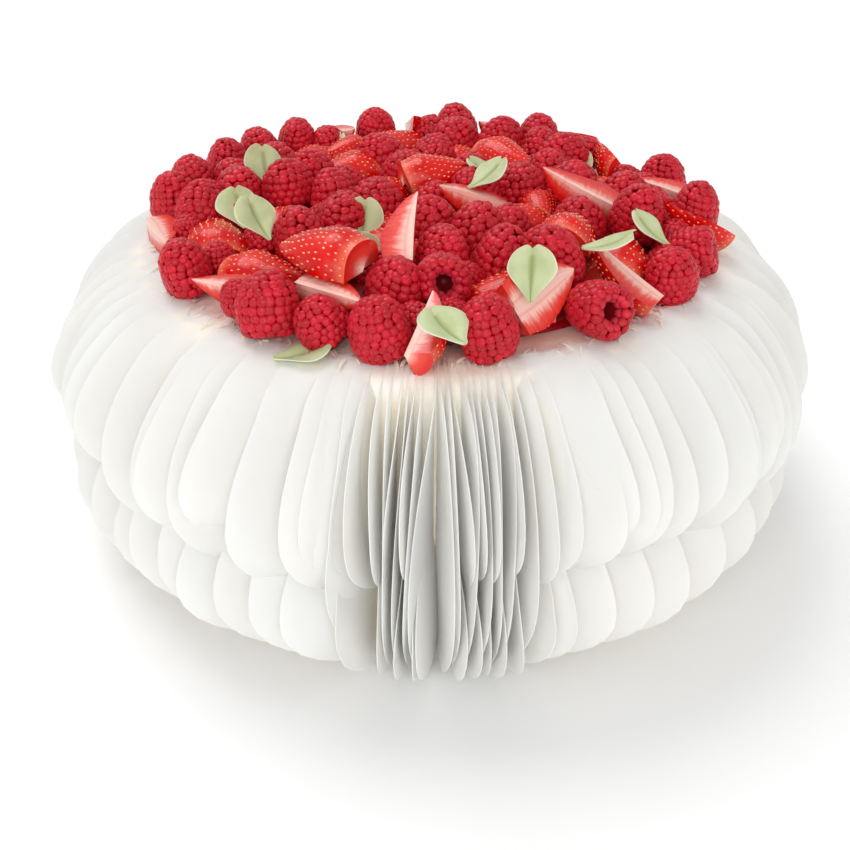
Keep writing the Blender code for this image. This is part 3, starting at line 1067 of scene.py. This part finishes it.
@dataclass
class CreamCollar:
    """The cream round the heap, smoothed out over the places where the petals begin."""

    inner: float = 0.080
    outer: float = 0.1030
    crest: float = 0.0013
    ridges: int = 80
    rows: int = 12
    columns: int = 400

    def build(self, finish: bpy.types.Material) -> bpy.types.Object:
        """Makes the collar as a closed ring that lies on the cake's top.

        Args:
            finish: its material.

        Returns:
            The finished piece.
        """
        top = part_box("cake")[1].z
        u = np.linspace(0, 1, self.rows + 1)[:, None]
        turn = np.linspace(0, 2 * math.pi, self.columns, endpoint=False)[None, :]
        wander = 0.35 * np.sin(3 * turn + 1) + 0.25 * np.sin(7 * turn) + 0.4 * np.sin(11 * turn + 4 * u)
        ridge = 0.5 + 0.5 * np.sin(self.ridges * turn + 4.2 * wander + 1.5 * u)
        patch = 0.5 + 0.3 * np.sin(17 * turn + 2) + 0.2 * np.sin(29 * turn + 3 * u)
        edge = self.outer + 0.0016 * np.sin(13 * turn + 2 * wander) + 0.0012 * ridge * patch
        radius = self.inner + (edge - self.inner) * u
        body = smooth(u / 0.2) * (1 - smooth((u - 0.45) / 0.55))
        z = top + 0.3 * MM + self.crest * body * (0.72 + 0.5 * ridge * patch * smooth((u - 0.3) / 0.5))
        under = np.minimum(top + 0.1 * MM, z - 0.8 * MM)
        shape = ring_shape(around(radius, turn, under), around(radius, turn, z))
        return settle(shape.placed("cream_collar", [finish]), "cream")


@dataclass
class WaferShreds:
    """Small torn bits of wafer and cream caught between the berries and the petals."""

    count: int = 150
    seed: int = 71

    def build(self, finish: bpy.types.Material) -> bpy.types.Object:
        """Makes all the shreds as one piece.

        Args:
            finish: its material.

        Returns:
            The finished piece.
        """
        shape = Shape.joined([self.shred(number) for number in range(self.count)])
        return settle(shape.placed("wafer_shreds", [finish]), "wafer")

    def shred(self, number: int) -> Shape:
        """One tapered sliver that lies along a radius and curls up a little.

        Args:
            number: its place in the row, which its small differences depend on.

        Returns:
            The closed sliver.
        """
        own = [jitter(number, self.seed + salt) for salt in range(8)]
        azimuth = 2 * math.pi * (number + 0.5 * own[0]) / self.count
        length = (3.4 + 2.0 * own[1]) * MM
        width = (0.42 + 0.2 * own[2]) * MM
        steps = 6
        t = np.linspace(0, 1, steps + 1)[:, None]
        across = np.array([-1.0, 0.0, 1.0])[None, :]
        radius = 0.0985 + 0.0030 * own[3] + length * t
        taper = np.sin(math.pi * np.clip(t * 0.86 + 0.12, 0, 1)) ** 0.7
        side = across * width * taper + 0.8 * MM * own[4] * t**2
        height = 0.1052 + 0.0008 * own[5] * t + 0.0004 * np.abs(across) * taper - 0.0012 * t**2
        angle = azimuth + side / radius + 0.05 * own[6] * t
        upper = around(radius, angle, height)
        lower = upper - np.array([0, 0, 0.3 * MM])
        tone = (own[7] + 1) / 2
        # A middling reach gives the shreds part of the wafer's painted warm root shade.
        return sheet_shape(lower.reshape(-1, 3), upper.reshape(-1, 3), steps + 1, 3, {
            "reach": np.full(lower.size // 3, 0.3), "tone": np.full(lower.size // 3, tone)})


# ---- The berries --------------------------------------------------------------------------


@dataclass
class Raspberry:
    """A raspberry: round beads in staggered rings over a hollow cup."""

    radius: float = 9.6 * MM
    length: float = 20.5 * MM
    bead: float = 3.05 * MM  # from bead to bead
    segments: int = 8
    base: float = 0.0  # below this share of its height there are no beads

    def outline(self, own: float) -> np.ndarray:
        """The cup's side, from the lip inside the hollow, round the base and up to the tip.

        Args:
            own: how blunt the tip is, from -1 to 1.

        Returns:
            Distances from the axis and heights.
        """
        r, h = self.radius, self.length
        blunt = 0.05 * own
        return np.array([
            (0.44 * r, 0.16 * h), (0.50 * r, 0.06 * h), (0.66 * r, 0.01 * h), (0.84 * r, 0.05 * h),
            (0.95 * r, 0.17 * h), (0.99 * r, 0.34 * h), ((0.95 + blunt) * r, 0.54 * h),
            ((0.82 + blunt) * r, 0.74 * h), ((0.56 + blunt) * r, 0.90 * h), (0.24 * r, 0.985 * h),
            (0.0, h)])

    def shape(self, index: int) -> Shape:
        """The whole berry, tip up, with small differences that depend on its number.

        Args:
            index: what its small differences depend on.

        Returns:
            The berry.
        """
        outline = self.outline(jitter(index, 31))
        steps = np.hypot(*np.diff(outline, axis=0).T)
        reached = np.concatenate([[0], np.cumsum(steps)])
        rings = int(round(reached[-1] / (0.90 * self.bead)))
        beads = []
        for ring in range(rings + 1):
            s = reached[-1] * ring / rings
            r, z = np.interp(s, reached, outline[:, 0]), np.interp(s, reached, outline[:, 1])
            before, behind = max(s - 0.8 * MM, 0), min(s + 0.8 * MM, reached[-1])
            run = np.interp(behind, reached, outline[:, 0]) - np.interp(before, reached, outline[:, 0])
            rise = np.interp(behind, reached, outline[:, 1]) - np.interp(before, reached, outline[:, 1])
            tilt = math.atan2(-run, rise) if ring < rings else math.pi / 2
            count = max(1, int(round(2 * math.pi * r / self.bead)))
            if z < self.base * self.length:
                continue
            hollow = 1.0 if ring == 0 else 0.35 if ring == 1 else 0.0
            for k in range(count):
                number = index * 997 + ring * 41 + k
                angle = 2 * math.pi * (k + 0.5 * (ring % 2) + 0.16 * jitter(number, 1)) / count
                beads.append((r, z + 0.25 * MM * jitter(number, 2), angle, tilt, number, hollow))
        parts = [self.cup(outline)] + [self.bead_shape(*bead) for bead in beads]
        whole = Shape.joined(parts)
        whole.points = self.squeezed(whole.points, index)
        return whole

    def squeezed(self, points: np.ndarray, index: int) -> np.ndarray:
        """Makes the berry a little oval, bent and lumpy.

        Args:
            points: the even berry's points.
            index: what its small differences depend on.

        Returns:
            The moved points.
        """
        angle = np.arctan2(points[:, 1], points[:, 0])
        height = points[:, 2] / self.length
        swell = 1 + 0.035 * np.sin(2 * angle + 6 * jitter(index, 32)) * (1 + height)
        swell += 0.03 * np.sin(3 * angle + 4 * height + 6 * jitter(index, 33))
        bent = points.copy()
        bent[:, :2] *= swell[:, None]
        bent[:, 0] += 1.1 * MM * jitter(index, 34) * height**2
        bent[:, 1] += 1.1 * MM * jitter(index, 35) * height**2
        return bent

    def cup(self, outline: np.ndarray) -> Shape:
        """The body that the beads stand on, open underneath, dark with painted shade between the beads.

        Args:
            outline: its side, as distances from the axis and heights.

        Returns:
            The closed cup.
        """
        sides = 20
        inner = [(0.0, 0.56 * self.length), (0.30 * self.radius, 0.46 * self.length)]
        shell = outline - np.array([0.5 * MM, 0]) * (outline[:, :1] > 0)
        shell[outline[:, 1] > 0.5 * self.length, 1] -= 0.9 * MM
        shell[1:4, 1] += 0.9 * MM
        side = np.concatenate([np.array(inner), np.maximum(shell, 0)])
        turn = 2 * math.pi * np.arange(sides) / sides
        points = [np.stack([r * np.cos(turn), r * np.sin(turn), np.full(sides, z)], 1)
                  for r, z in side[1:-1]]
        first, last = sides * len(points), sides * len(points) + 1
        faces = grid_faces(len(points), sides, wrap=True)
        ring = np.arange(sides)
        start = fan_faces(first, ring)[:, ::-1]
        end = fan_faces(last, ring + first - sides)
        ends = np.array([[0, 0, side[0, 1]], [0, 0, side[-1, 1]]])
        total = last + 1
        rim = np.concatenate([np.full(sides, 1.0 if row < 2 else 0.0) for row in range(len(points))])
        # A low height and tone paint the cup with the crease shade, as painted shade between the beads.
        values = {"tone": np.full(total, 0.3), "height": np.full(total, 0.15),
                  "hollow": np.append(rim, [1.0, 0.0])}
        return Shape(np.concatenate([*points, ends]), [(faces, 0), (start, 0), (end, 0)], values)

    def bead_shape(self, r: float, z: float, angle: float, tilt: float, number: int,
                   hollow: float) -> Shape:
        """One bead: a dome that stands on the cup's side and closes under it.

        Args:
            r: its distance from the berry's axis.
            z: its height in the berry.
            angle: where it stands round the axis.
            tilt: how far its own axis points above the horizontal.
            number: what its small differences depend on.
            hollow: how much it belongs to the paler inside.

        Returns:
            The bead with its tone and its height above the creases.
        """
        wide = 0.72 * self.bead * (1 + 0.09 * jitter(number, 3))
        tall = 0.50 * self.bead * (1 + 0.14 * jitter(number, 4))
        polar = np.radians([27, 53, 80])
        turn = 2 * math.pi * np.arange(self.segments) / self.segments
        girth = wide * np.sin(polar)[:, None]
        local = np.stack([girth * np.cos(turn), girth * np.sin(turn),
                          (tall * np.cos(polar))[:, None] + 0 * turn], -1).reshape(-1, 3)
        local = np.concatenate([local, [[0, 0, tall], [0, 0, -0.3 * tall]]])
        c, s = math.cos(tilt), math.sin(tilt)
        out = np.array([math.cos(angle), math.sin(angle), 0])
        axis = c * out + s * np.array([0, 0, 1.0])
        side = np.array([-math.sin(angle), math.cos(angle), 0])
        points = local @ np.stack([np.cross(side, axis), side, axis]) + r * out
        points += np.array([0, 0, z]) - 0.40 * MM * axis
        n, ring = self.segments, np.arange(self.segments)
        top = fan_faces(3 * n, ring)
        under = fan_faces(3 * n + 1, ring + 2 * n)[:, ::-1]
        # The height also paints the shade of the creases: the bead's underside takes it fully.
        height = np.concatenate([np.repeat(np.clip(np.cos(polar), 0, 1), n), [1, 0]])
        tone = np.full(len(points), 0.5 + 0.5 * jitter(number, 5))
        values = {"tone": tone, "height": height, "hollow": np.full(len(points), hollow)}
        return Shape(points, [(grid_faces(3, n, wrap=True)[:, ::-1], 0), (top, 0), (under, 0)], values)


@dataclass
class Strawberry:
    """A cut strawberry along +X with its skin upwards: seeds in dimples over smooth cut faces."""

    radius: float = 14.2 * MM
    length: float = 34.5 * MM
    stations: int = 34
    seed_gap: float = 2.6 * MM
    dimple: float = 0.42 * MM

    def girth(self, t: np.ndarray) -> np.ndarray:
        """Its radius at a share t of its length, from the trimmed shoulder to the tip."""
        shoulder = 1 - 0.22 * (1 - smooth(t / 0.3))
        return self.radius * shoulder * (1 - np.clip(t, 0, 1) ** 1.7) ** 0.77

    @staticmethod
    def wobble(t: np.ndarray, angle: np.ndarray, index: int) -> np.ndarray:
        """How much fuller it is than an even berry, at shares of its length and angles.

        Args:
            t: shares of its length.
            angle: angles round its axis.
            index: what its small differences depend on.

        Returns:
            Its girth as a share of an even berry's.
        """
        round_it, along_it = 5 * jitter(index, 41), 5 * jitter(index, 42)
        return 1 + 0.03 * np.sin(2 * angle + round_it) + 0.03 * np.sin(5 * t + along_it)

    def seed_places(self, sweep: float) -> np.ndarray:
        """Where the seeds sit, as shares of the length and angles round the axis.

        Args:
            sweep: how far round the axis the skin reaches, in radians.

        Returns:
            One row for each seed.
        """
        places = []
        rows = int(self.length / self.seed_gap)
        for row in range(rows):
            t = (row + 0.7) / (rows + 0.6)
            width = float(self.girth(np.array(t))) * sweep
            count = max(1, int(width / (self.seed_gap * 1.12)))
            for k in range(count):
                angle = sweep * ((k + 0.5 + 0.25 * (1 if row % 2 else -1)) / count - 0.5)
                places.append((t + 0.012 * jitter(row * 31 + k, 8), angle + 0.05 * jitter(row * 31 + k, 9)))
        return np.array(places)

    def shape(self, index: int, quarter: bool) -> Shape:
        """The whole piece.

        Args:
            index: what its small differences depend on.
            quarter: whether it is a quarter, and not a half.

        Returns:
            The closed piece and its seeds, with finishes 0 skin, 1 flesh and 2 seed.
        """
        sweep = math.pi / 2 if quarter else math.pi
        across = 20 if quarter else 34
        t = 1 - (1 - np.linspace(0, 0.985, self.stations)) ** 1.15
        angle = sweep * (np.linspace(0, 1, across + 1) - 0.5)
        tt, aa = np.meshgrid(t, angle, indexing="ij")
        seeds = self.seed_places(sweep)
        girth = self.girth(tt) * self.wobble(tt, aa, index)
        gap_x = (tt[..., None] - seeds[:, 0]) * self.length
        gap_y = (aa[..., None] - seeds[:, 1]) * girth[..., None]
        pit = np.exp(-(gap_x**2 + gap_y**2) / (0.80 * MM) ** 2).max(-1)
        skin_r = girth - self.dimple * pit
        skin = self.surface(tt, aa, skin_r, index)
        values = {"core": np.ones(tt.size), "along": tt.ravel(), "dimple": pit.ravel()}
        parts = [(skin, values, grid_faces(*tt.shape)[:, ::-1], 0)]
        shares = np.linspace(0, 1, 11)
        for edge, side in ((0, angle[0]), (-1, angle[-1])):
            ts, ss = np.meshgrid(t, shares, indexing="ij")
            flat = self.surface(ts, np.full_like(ts, side), skin_r[:, edge][:, None] * ss, index)
            faces = grid_faces(*ts.shape)
            face_values = {"core": ss.ravel(), "along": ts.ravel(), "dimple": np.zeros(ts.size)}
            parts.append((flat, face_values, faces[:, ::-1] if edge == 0 else faces, 1))
        ss, aa2 = np.meshgrid(shares, angle, indexing="ij")
        for end, flip in ((0, True), (-1, False)):
            if end:
                ss, aa2 = ss[::5], aa2[::5]
            rim = skin_r[end][None, :] * ss
            disc = self.surface(np.full_like(ss, t[end]), aa2, rim, index)
            cap_values = {"core": ss.ravel() if end == 0 else np.ones(ss.size),
                          "along": np.full(ss.size, t[end]), "dimple": np.zeros(ss.size)}
            faces = grid_faces(*ss.shape)
            parts.append((disc, cap_values, faces[:, ::-1] if flip else faces, 1 if end == 0 else 0))
        pale = (jitter(index, 43) + 1) / 2
        shapes = []
        for points, values, faces, finish in parts:
            values["pale"] = np.full(len(points), pale)
            shapes.append(Shape(points, [(faces, finish)], values))
        shapes += [self.seed(place, index, pale) for place in seeds]
        return Shape.joined(shapes)

    def surface(self, t: np.ndarray, angle: np.ndarray, radius: np.ndarray, index: int) -> np.ndarray:
        """Points at shares of the length, angles round the axis and distances from it.

        Args:
            t: shares of its length.
            angle: angles round its axis.
            radius: distances from the axis.
            index: what its small differences depend on.

        Returns:
            The points, one by one.
        """
        bow = 1.4 * MM * jitter(index, 44) * np.sin(math.pi * t)
        x = t * self.length + 0.6 * MM * np.sin(3 * angle) * (1 - t)
        return np.stack([x, radius * np.sin(angle) + bow, radius * np.cos(angle)], -1).reshape(-1, 3)

    def seed(self, place: np.ndarray, index: int, pale: float) -> Shape:
        """One seed: a small drop that lies in its dimple and points to the tip.

        Args:
            place: its share of the length and its angle.
            index: what its small differences depend on.
            pale: how pale the berry is.

        Returns:
            The closed seed.
        """
        t, angle = place
        r = float(self.girth(np.array(t)) * self.wobble(t, angle, index))
        depth = 0.55 * self.dimple
        centre = self.surface(np.array([t]), np.array([angle]), np.array([r - depth]), index)[0]
        sides = 5
        polar = np.radians([50, 110])
        turn = 2 * math.pi * np.arange(sides) / sides
        x = np.cos(polar)[:, None] * 0.62 * MM + 0 * turn
        y = np.sin(polar)[:, None] * 0.36 * MM * np.cos(turn)
        z = np.sin(polar)[:, None] * 0.30 * MM * np.sin(turn)
        local = np.stack([x, y, z], -1).reshape(-1, 3)
        local = np.concatenate([local, [[0.74 * MM, 0, 0], [-0.54 * MM, 0, 0]]])
        c, s = math.cos(angle), math.sin(angle)
        turned = np.array([[1, 0, 0], [0, c, -s], [0, s, c]])
        points = local @ turned + centre
        n, count, ring = sides, len(points), np.arange(sides)
        front = fan_faces(2 * n, ring)
        back = fan_faces(2 * n + 1, ring + n)[:, ::-1]
        values = {"core": np.ones(count), "along": np.full(count, t), "dimple": np.ones(count),
                  "pale": np.full(count, pale)}
        return Shape(points, [(grid_faces(2, n, wrap=True)[:, ::-1], 2), (front, 2), (back, 2)], values)


@dataclass
class Heap:
    """All the berries: one piece for each that has its own CAD node, and the bed between them."""

    raspberry: bpy.types.Material
    skin: bpy.types.Material
    flesh: bpy.types.Material
    seed: bpy.types.Material
    bare: float = 0.27  # the share of a half-hidden raspberry's height that has no beads
    bed_start: int = 500  # the first number that the bed's berries take their differences from
    fill_start: int = 700  # the same for the berries tucked into the gaps
    fill_radius: float = 0.0935  # how far from the axis the gaps are filled
    smallest_gap: float = 3.2 * MM
    points: list[np.ndarray] = field(default_factory=list)

    def fruit_shape(self, kind: Kind, index: int, base: float = 0.0) -> Shape:
        """A berry of either fruit, before it is laid down.

        Args:
            kind: how the berry is cut and lies.
            index: what its small differences depend on.
            base: the share of a raspberry's height that stays bare.

        Returns:
            The berry.
        """
        if kind.is_raspberry:
            return Raspberry(base=base, segments=7 if base else 8).shape(index)
        return Strawberry().shape(index, kind.is_quarter)

    def build(self) -> None:
        """Makes every berry of the rim and the top in the place of its node, then the bed."""
        counts: dict[str, int] = {}
        for index, (kind, azimuth, _) in enumerate(ring_places(RIM_PIECES + TOP_PIECES)):
            counts[kind.fruit] = counts.get(kind.fruit, 0) + 1
            node = f"{kind.fruit}_{counts[kind.fruit]:02d}"
            turn = berry_turn(kind, index, azimuth)
            shape = self.fruit_shape(kind, index).turned(turn).fitted(*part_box(node))
            self.lay([shape], kind, node + "_fruit", node)
        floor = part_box("cake")[1].z
        self.build_bed(floor)
        self.fill_gaps(floor)
        self.build_gap_shadow(floor)

    def lay(self, shapes: list[Shape], kind: Kind, name: str, *nodes: str) -> None:
        """Makes the object of one berry or of several of a kind, and keeps its points.

        Args:
            shapes: the berries.
            kind: a kind of the same fruit.
            name: the object's name.
            nodes: the CAD nodes that it replaces.
        """
        shape = Shape.joined(shapes)
        self.points.append(shape.points)
        if kind.is_raspberry:
            settle(shape.placed(name, [self.raspberry], crease=180), "raspberry", *nodes)
        else:
            made = shape.placed(name, [self.skin, self.flesh, self.seed], crease=48)
            settle(made, "strawberry", *nodes)

    def build_bed(self, floor: float) -> None:
        """Makes the berries of the bed, one piece for each fruit.

        Args:
            floor: the height of the cake's top.
        """
        laid: dict[bool, list[Shape]] = {True: [], False: []}
        for number, (kind, azimuth, distance) in enumerate(ring_places(BED_PIECES)):
            index = self.bed_start + number
            shape = self.fruit_shape(kind, index, self.bare).turned(berry_turn(kind, index, azimuth))
            size = kind.size * (1.0 if kind.is_raspberry else 1.16)
            shape.points = shape.points * size * (1 + 0.05 * jitter(index, 4))
            lift = (1 + jitter(number, 6)) * (1.5 if kind.is_raspberry else 2.2) * MM
            laid[kind.is_raspberry].append(self.dropped(shape, distance * outward(azimuth), floor + lift))
        self.lay(laid[True], Kind.RASPBERRY, "bed_raspberries", "berry_bed")
        self.lay(laid[False], Kind.HALF, "bed_strawberries", "berry_bed")

    @staticmethod
    def dropped(shape: Shape, place: Vector, floor: float) -> Shape:
        """The shape with its middle over a place and its lowest point at a height.

        Args:
            shape: the shape, which is moved.
            place: where its middle goes.
            floor: the height of its lowest point.

        Returns:
            The same shape.
        """
        low, high = shape.points.min(0), shape.points.max(0)
        middle = (low + high) / 2
        shape.points = shape.points + np.array([place.x - middle[0], place.y - middle[1], floor - low[2]])
        return shape

    def fill_gaps(self, floor: float) -> None:
        """Tucks smaller berries into the gaps of the heap, the widest gap first.

        Args:
            floor: the height of the cake's top.
        """
        cell = 1.5 * MM
        line = np.arange(-self.fill_radius, self.fill_radius, cell)
        spots = np.stack([axis.ravel() for axis in np.meshgrid(line, line)], 1)
        spots = spots[np.hypot(spots[:, 0], spots[:, 1]) < self.fill_radius]
        laid = np.concatenate(self.points)
        taken = np.unique(np.round(laid[laid[:, 2] > floor + 5 * MM][:, :2] / cell), axis=0) * cell
        room = np.full(len(spots), np.inf)
        for start in range(0, len(taken), 512):
            gap = spots[:, None, :] - taken[None, start:start + 512, :]
            room = np.minimum(room, np.sqrt((gap**2).sum(-1).min(1)))
        shapes: dict[bool, list[Shape]] = {True: [], False: []}
        number = 0
        while room.max() > self.smallest_gap:
            best = int(room.argmax())
            clear, index = float(room[best]), self.fill_start + number
            spot = Vector((*spots[best], 0))
            kind = Kind.HALF if number % 3 == 1 and clear > 5 * MM else Kind.RASPBERRY
            azimuth = math.atan2(spot.x, -spot.y)
            if kind is Kind.HALF:
                turn, size = strawberry_turn(kind, index, azimuth), (clear + 5.0 * MM) / (17 * MM)
            else:
                out, side = outward(azimuth), sideways(azimuth)
                tip = Vector((0, 0, 1)) + 0.8 * jitter(index, 1) * out + 0.8 * jitter(index, 2) * side
                turn, size = axes_to_matrix(side.cross(tip), tip), (clear + 2.6 * MM) / (9.6 * MM)
            size = min(size, 0.96)
            shape = self.fruit_shape(kind, index, self.bare).turned(turn)
            shape.points = shape.points * size
            tall = float(np.ptp(shape.points[:, 2]))
            lift = max(0.0, (14.0 + 2.0 * jitter(index, 7)) * MM - tall)
            shapes[kind.is_raspberry].append(self.dropped(shape, spot, floor + 0.6 * MM + lift))
            reach = size * (9.6 if kind.is_raspberry else 13) * MM
            room = np.minimum(room, np.hypot(spots[:, 0] - spot.x, spots[:, 1] - spot.y) - reach)
            number += 1
        LOG.info("%d berries tucked into the gaps", number)
        self.lay(shapes[True], Kind.RASPBERRY, "tucked_raspberries", "berry_bed")
        self.lay(shapes[False], Kind.HALF, "tucked_strawberries", "berry_bed")

    def build_gap_shadow(self, floor: float) -> None:
        """Makes a dark lumpy layer low down in the heap, a painted shadow that darkens the gaps between the
        berries.

        Args:
            floor: the height of the cake's top.
        """
        rows, columns, radius = 26, 120, 0.087
        u = np.linspace(0.02, 1, rows)[:, None]
        turn = np.linspace(0, 2 * math.pi, columns, endpoint=False)[None, :]
        x, y = radius * u * np.sin(turn), -radius * u * np.cos(turn)
        lumps = np.sin(640 * x + 2 * np.sin(410 * y)) * np.sin(590 * y + 2 * np.sin(450 * x))
        z = floor + 2.2 * MM + 5 * MM * (1 - u**6) + 1.3 * MM * lumps * (1 - u**4)
        upper = np.stack([x, y, z], -1).reshape(-1, 3)
        rim = np.stack([x[-1], y[-1], np.full(columns, floor + 0.2 * MM)], -1)
        ends = np.array([[0, 0, floor + 6.2 * MM], [0, 0, floor + 0.2 * MM]])
        count = rows * columns
        ring = np.arange(columns)
        side = band_faces(ring + count - columns, ring + count)[:, ::-1]
        top = fan_faces(count + columns, ring)
        under = fan_faces(count + columns + 1, ring + count)[:, ::-1]
        faces = [(grid_faces(rows, columns, wrap=True)[:, ::-1], 0), (side, 0), (top, 0), (under, 0)]
        points = np.concatenate([upper, rim, ends])
        # A low height and tone paint the layer with the raspberry's crease shade, as painted shadow.
        height = np.concatenate([np.repeat(0.3, count), np.zeros(columns + 2)])
        values = {"tone": np.full(len(points), 0.2), "height": height, "hollow": np.zeros(len(points))}
        core = Shape(points, faces, values).placed("berry_core", [self.raspberry], crease=180)
        settle(core, "raspberry", "berry_bed")


@dataclass
class SugarLeaf:
    """A folded sugar leaf with a notched end and a pointed base."""

    length: float = 18.5 * MM
    width: float = 16.5 * MM
    thickness: float = 0.75 * MM
    fold: float = math.radians(24)
    rows: int = 22
    columns: int = 16

    def shape(self, index: int) -> Shape:
        """The leaf along +X from its base, opening upwards from its midrib.

        Args:
            index: what its small differences depend on.

        Returns:
            The leaf.
        """
        u = np.linspace(0.0, 1, self.rows + 1)[:, None]
        s = np.linspace(-1, 1, self.columns + 1)[None, :]
        oval = np.sqrt(np.clip(1 - np.abs(2 * (0.02 + 0.955 * u) - 1) ** 2.3, 0, 1))
        half = self.width / 2 * oval * (0.30 + 0.70 * smooth(u / 0.62))
        uneven = 1 + 0.10 * jitter(index, 61) * s
        y = s * half * uneven
        notch = 0.055 * self.length * np.exp(-((s / 0.34) ** 2)) * smooth((u - 0.75) / 0.25)
        x = self.length * (0.02 + 0.96 * u) - notch
        lift = 0.10 * self.length * (2 * u - 1) ** 2
        fold = self.fold * (0.62 + 0.3 * jitter(index, 62))
        rise = np.abs(y) * math.sin(fold) * (1.35 - 0.6 * np.abs(s))
        ripple = 0.40 * MM * np.sin(6 * u + 4 * s + 6 * jitter(index, 63)) * np.abs(s)
        curl = 1.6 * MM * jitter(index, 64) * s * np.abs(s) * u - 1.1 * MM * s**4 * smooth(u)
        z = lift + rise + ripple + curl - 0.25 * MM * np.exp(-((s / 0.10) ** 2))
        upper = np.stack([x + 0 * s, y * math.cos(fold), z], -1)
        thin = self.thickness * (0.35 + 0.65 * (1 - np.abs(s) ** 3) * (1 - u**4))
        lower = upper - thin[..., None] * np.array([0, 0, 1.0])
        edge = np.maximum(np.abs(s) + 0 * u, smooth((u - 0.8) / 0.2) * (0.55 + 0.45 * np.abs(s)))
        return sheet_shape(lower.reshape(-1, 3), upper.reshape(-1, 3), self.rows + 1, self.columns + 1,
                           {"rim": edge.ravel()})

    def build(self, number: int, finish: bpy.types.Material) -> bpy.types.Object:
        """Makes the leaf of a number in the place of its node.

        Args:
            number: the number of its node.
            finish: its material.

        Returns:
            The finished piece.
        """
        heading, rise = (math.radians(a) for a in LEAF_POSES[number - 1])
        flat = Vector((math.sin(heading), math.cos(heading), 0))
        up = Vector((0, 0, 1))
        turn = axes_to_matrix(flat * math.cos(rise) + up * math.sin(rise), up)
        node = f"leaf_{number:02d}"
        shape = self.shape(number).turned(turn).fitted(*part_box(node))
        return settle(shape.placed(node + "_sugar", [finish]), "leaf", node)


# ---- Studio -------------------------------------------------------------------------------


@dataclass
class Studio:
    """A pale floor, broad soft lights and the camera."""

    camera_place: tuple[float, float, float] = (0.0, -0.365, 0.257)
    camera_pitch: float = 33.2  # degrees below the horizontal
    lens: float = 44.47
    shift: float = -0.0076
    world_light: float = 0.60

    def build(self, effects: Effects) -> None:
        """Makes the stage.

        Args:
            effects: the effects that the finishes share.
        """
        self.build_floor(FloorFinish().build(effects))
        self.build_world()
        self.add_sun("key", azimuth=215, height=58, spread=35, strength=1.20)
        self.add_sun("front_left", azimuth=-20, height=26, spread=44, strength=0.78)
        self.add_sun("front_right", azimuth=22, height=22, spread=44, strength=0.66)
        data = bpy.data.cameras.new("camera")
        data.lens = self.lens
        data.shift_x = self.shift
        data.clip_start = 0.01
        camera = bpy.data.objects.new("camera", data)
        camera.location = self.camera_place
        camera.rotation_euler = (math.radians(90 - self.camera_pitch), 0, 0)
        bpy.context.scene.collection.objects.link(camera)
        bpy.context.scene.camera = camera
        scene = bpy.context.scene
        scene.view_settings.view_transform = "Standard"
        scene.cycles.max_bounces, scene.cycles.diffuse_bounces = 12, 8  # light goes deep between petals

    def build_floor(self, finish: bpy.types.Material) -> None:
        """Makes the floor as one broad disc.

        Args:
            finish: its material.
        """
        sides, radius = 96, 7.0
        turn = 2 * math.pi * np.arange(sides) / sides
        ring = np.stack([radius * np.cos(turn), radius * np.sin(turn), np.zeros(sides)], 1)
        shape = Shape(ring, [(np.arange(sides)[None, :], 0)])
        shape.placed("studio_floor", [finish])

    def build_world(self) -> None:
        """Makes the even white surroundings."""
        world = bpy.data.worlds.new("studio")
        world.use_nodes = True
        sky = world.node_tree.nodes["Background"]
        sky.inputs["Color"].default_value = (1, 1, 1, 1)
        bench = Bench(world.node_tree)
        seen = bench.add("LightPath").outputs["Is Camera Ray"]
        bright = bench.add("MapRange", {"Value": seen, "To Min": self.world_light, "To Max": 1.0})
        world.node_tree.links.new(bright.outputs[0], sky.inputs["Strength"])
        bpy.context.scene.world = world

    def add_sun(self, name: str, azimuth: float, height: float, spread: float, strength: float) -> None:
        """Adds an even light from far away.

        Args:
            name: the light's name.
            azimuth: where it stands round the cake, in degrees from the front towards +X.
            height: how high it stands, in degrees.
            spread: how broad it looks from the cake, in degrees, which softens its shadows.
            strength: how bright it is, in watts a square metre.
        """
        data = bpy.data.lights.new(name, "SUN")
        data.angle = math.radians(spread)
        data.energy = strength
        light = bpy.data.objects.new(name, data)
        rise = math.radians(height)
        aim = -(outward(math.radians(azimuth)) * math.cos(rise) + Vector((0, 0, math.sin(rise))))
        light.rotation_euler = aim.to_track_quat("-Z", "Y").to_euler()
        bpy.context.scene.collection.objects.link(light)


def main() -> None:
    """Builds everything in order."""
    logging.basicConfig(level=logging.INFO, format="%(name)s: %(message)s")
    effects = Effects()
    Studio().build(effects)
    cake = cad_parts["cake"]
    cake.data.materials.clear()
    cake.data.materials.append(CreamFinish("cake_cream").build(effects))
    LOG.info("cake: dressed in cream")
    wafer = WaferFinish().build(effects)
    PetalTier("upper_petals", "petals_upper", seed=3, reach=0.0392, top=0.1046, bottom=0.033,
              root_bottom=0.042, ragged=0.012, inward=0.0065, point=0.65).build(wafer)
    PetalTier("lower_petals", "petals_lower", seed=5, reach=0.0385, top=0.0690, bottom=0.0012,
              root_bottom=0.0014, ragged=0.0, skew=0.12, point=0.2, rows=18).build(wafer)
    cream = CreamFinish("collar_cream").build(effects)
    CreamBelly().build(cream)
    CreamCollar().build(cream)
    WaferShreds().build(wafer)
    heap = Heap(
        RaspberryFinish("raspberry_skin").build(effects), StrawberrySkinFinish().build(effects),
        StrawberryFleshFinish().build(effects), SeedFinish().build(effects))
    heap.build()
    leaf = LeafFinish().build(effects)
    for number in range(1, len(LEAF_POSES) + 1):
        SugarLeaf().build(number, leaf)


if __name__ == "__main__":
    main()
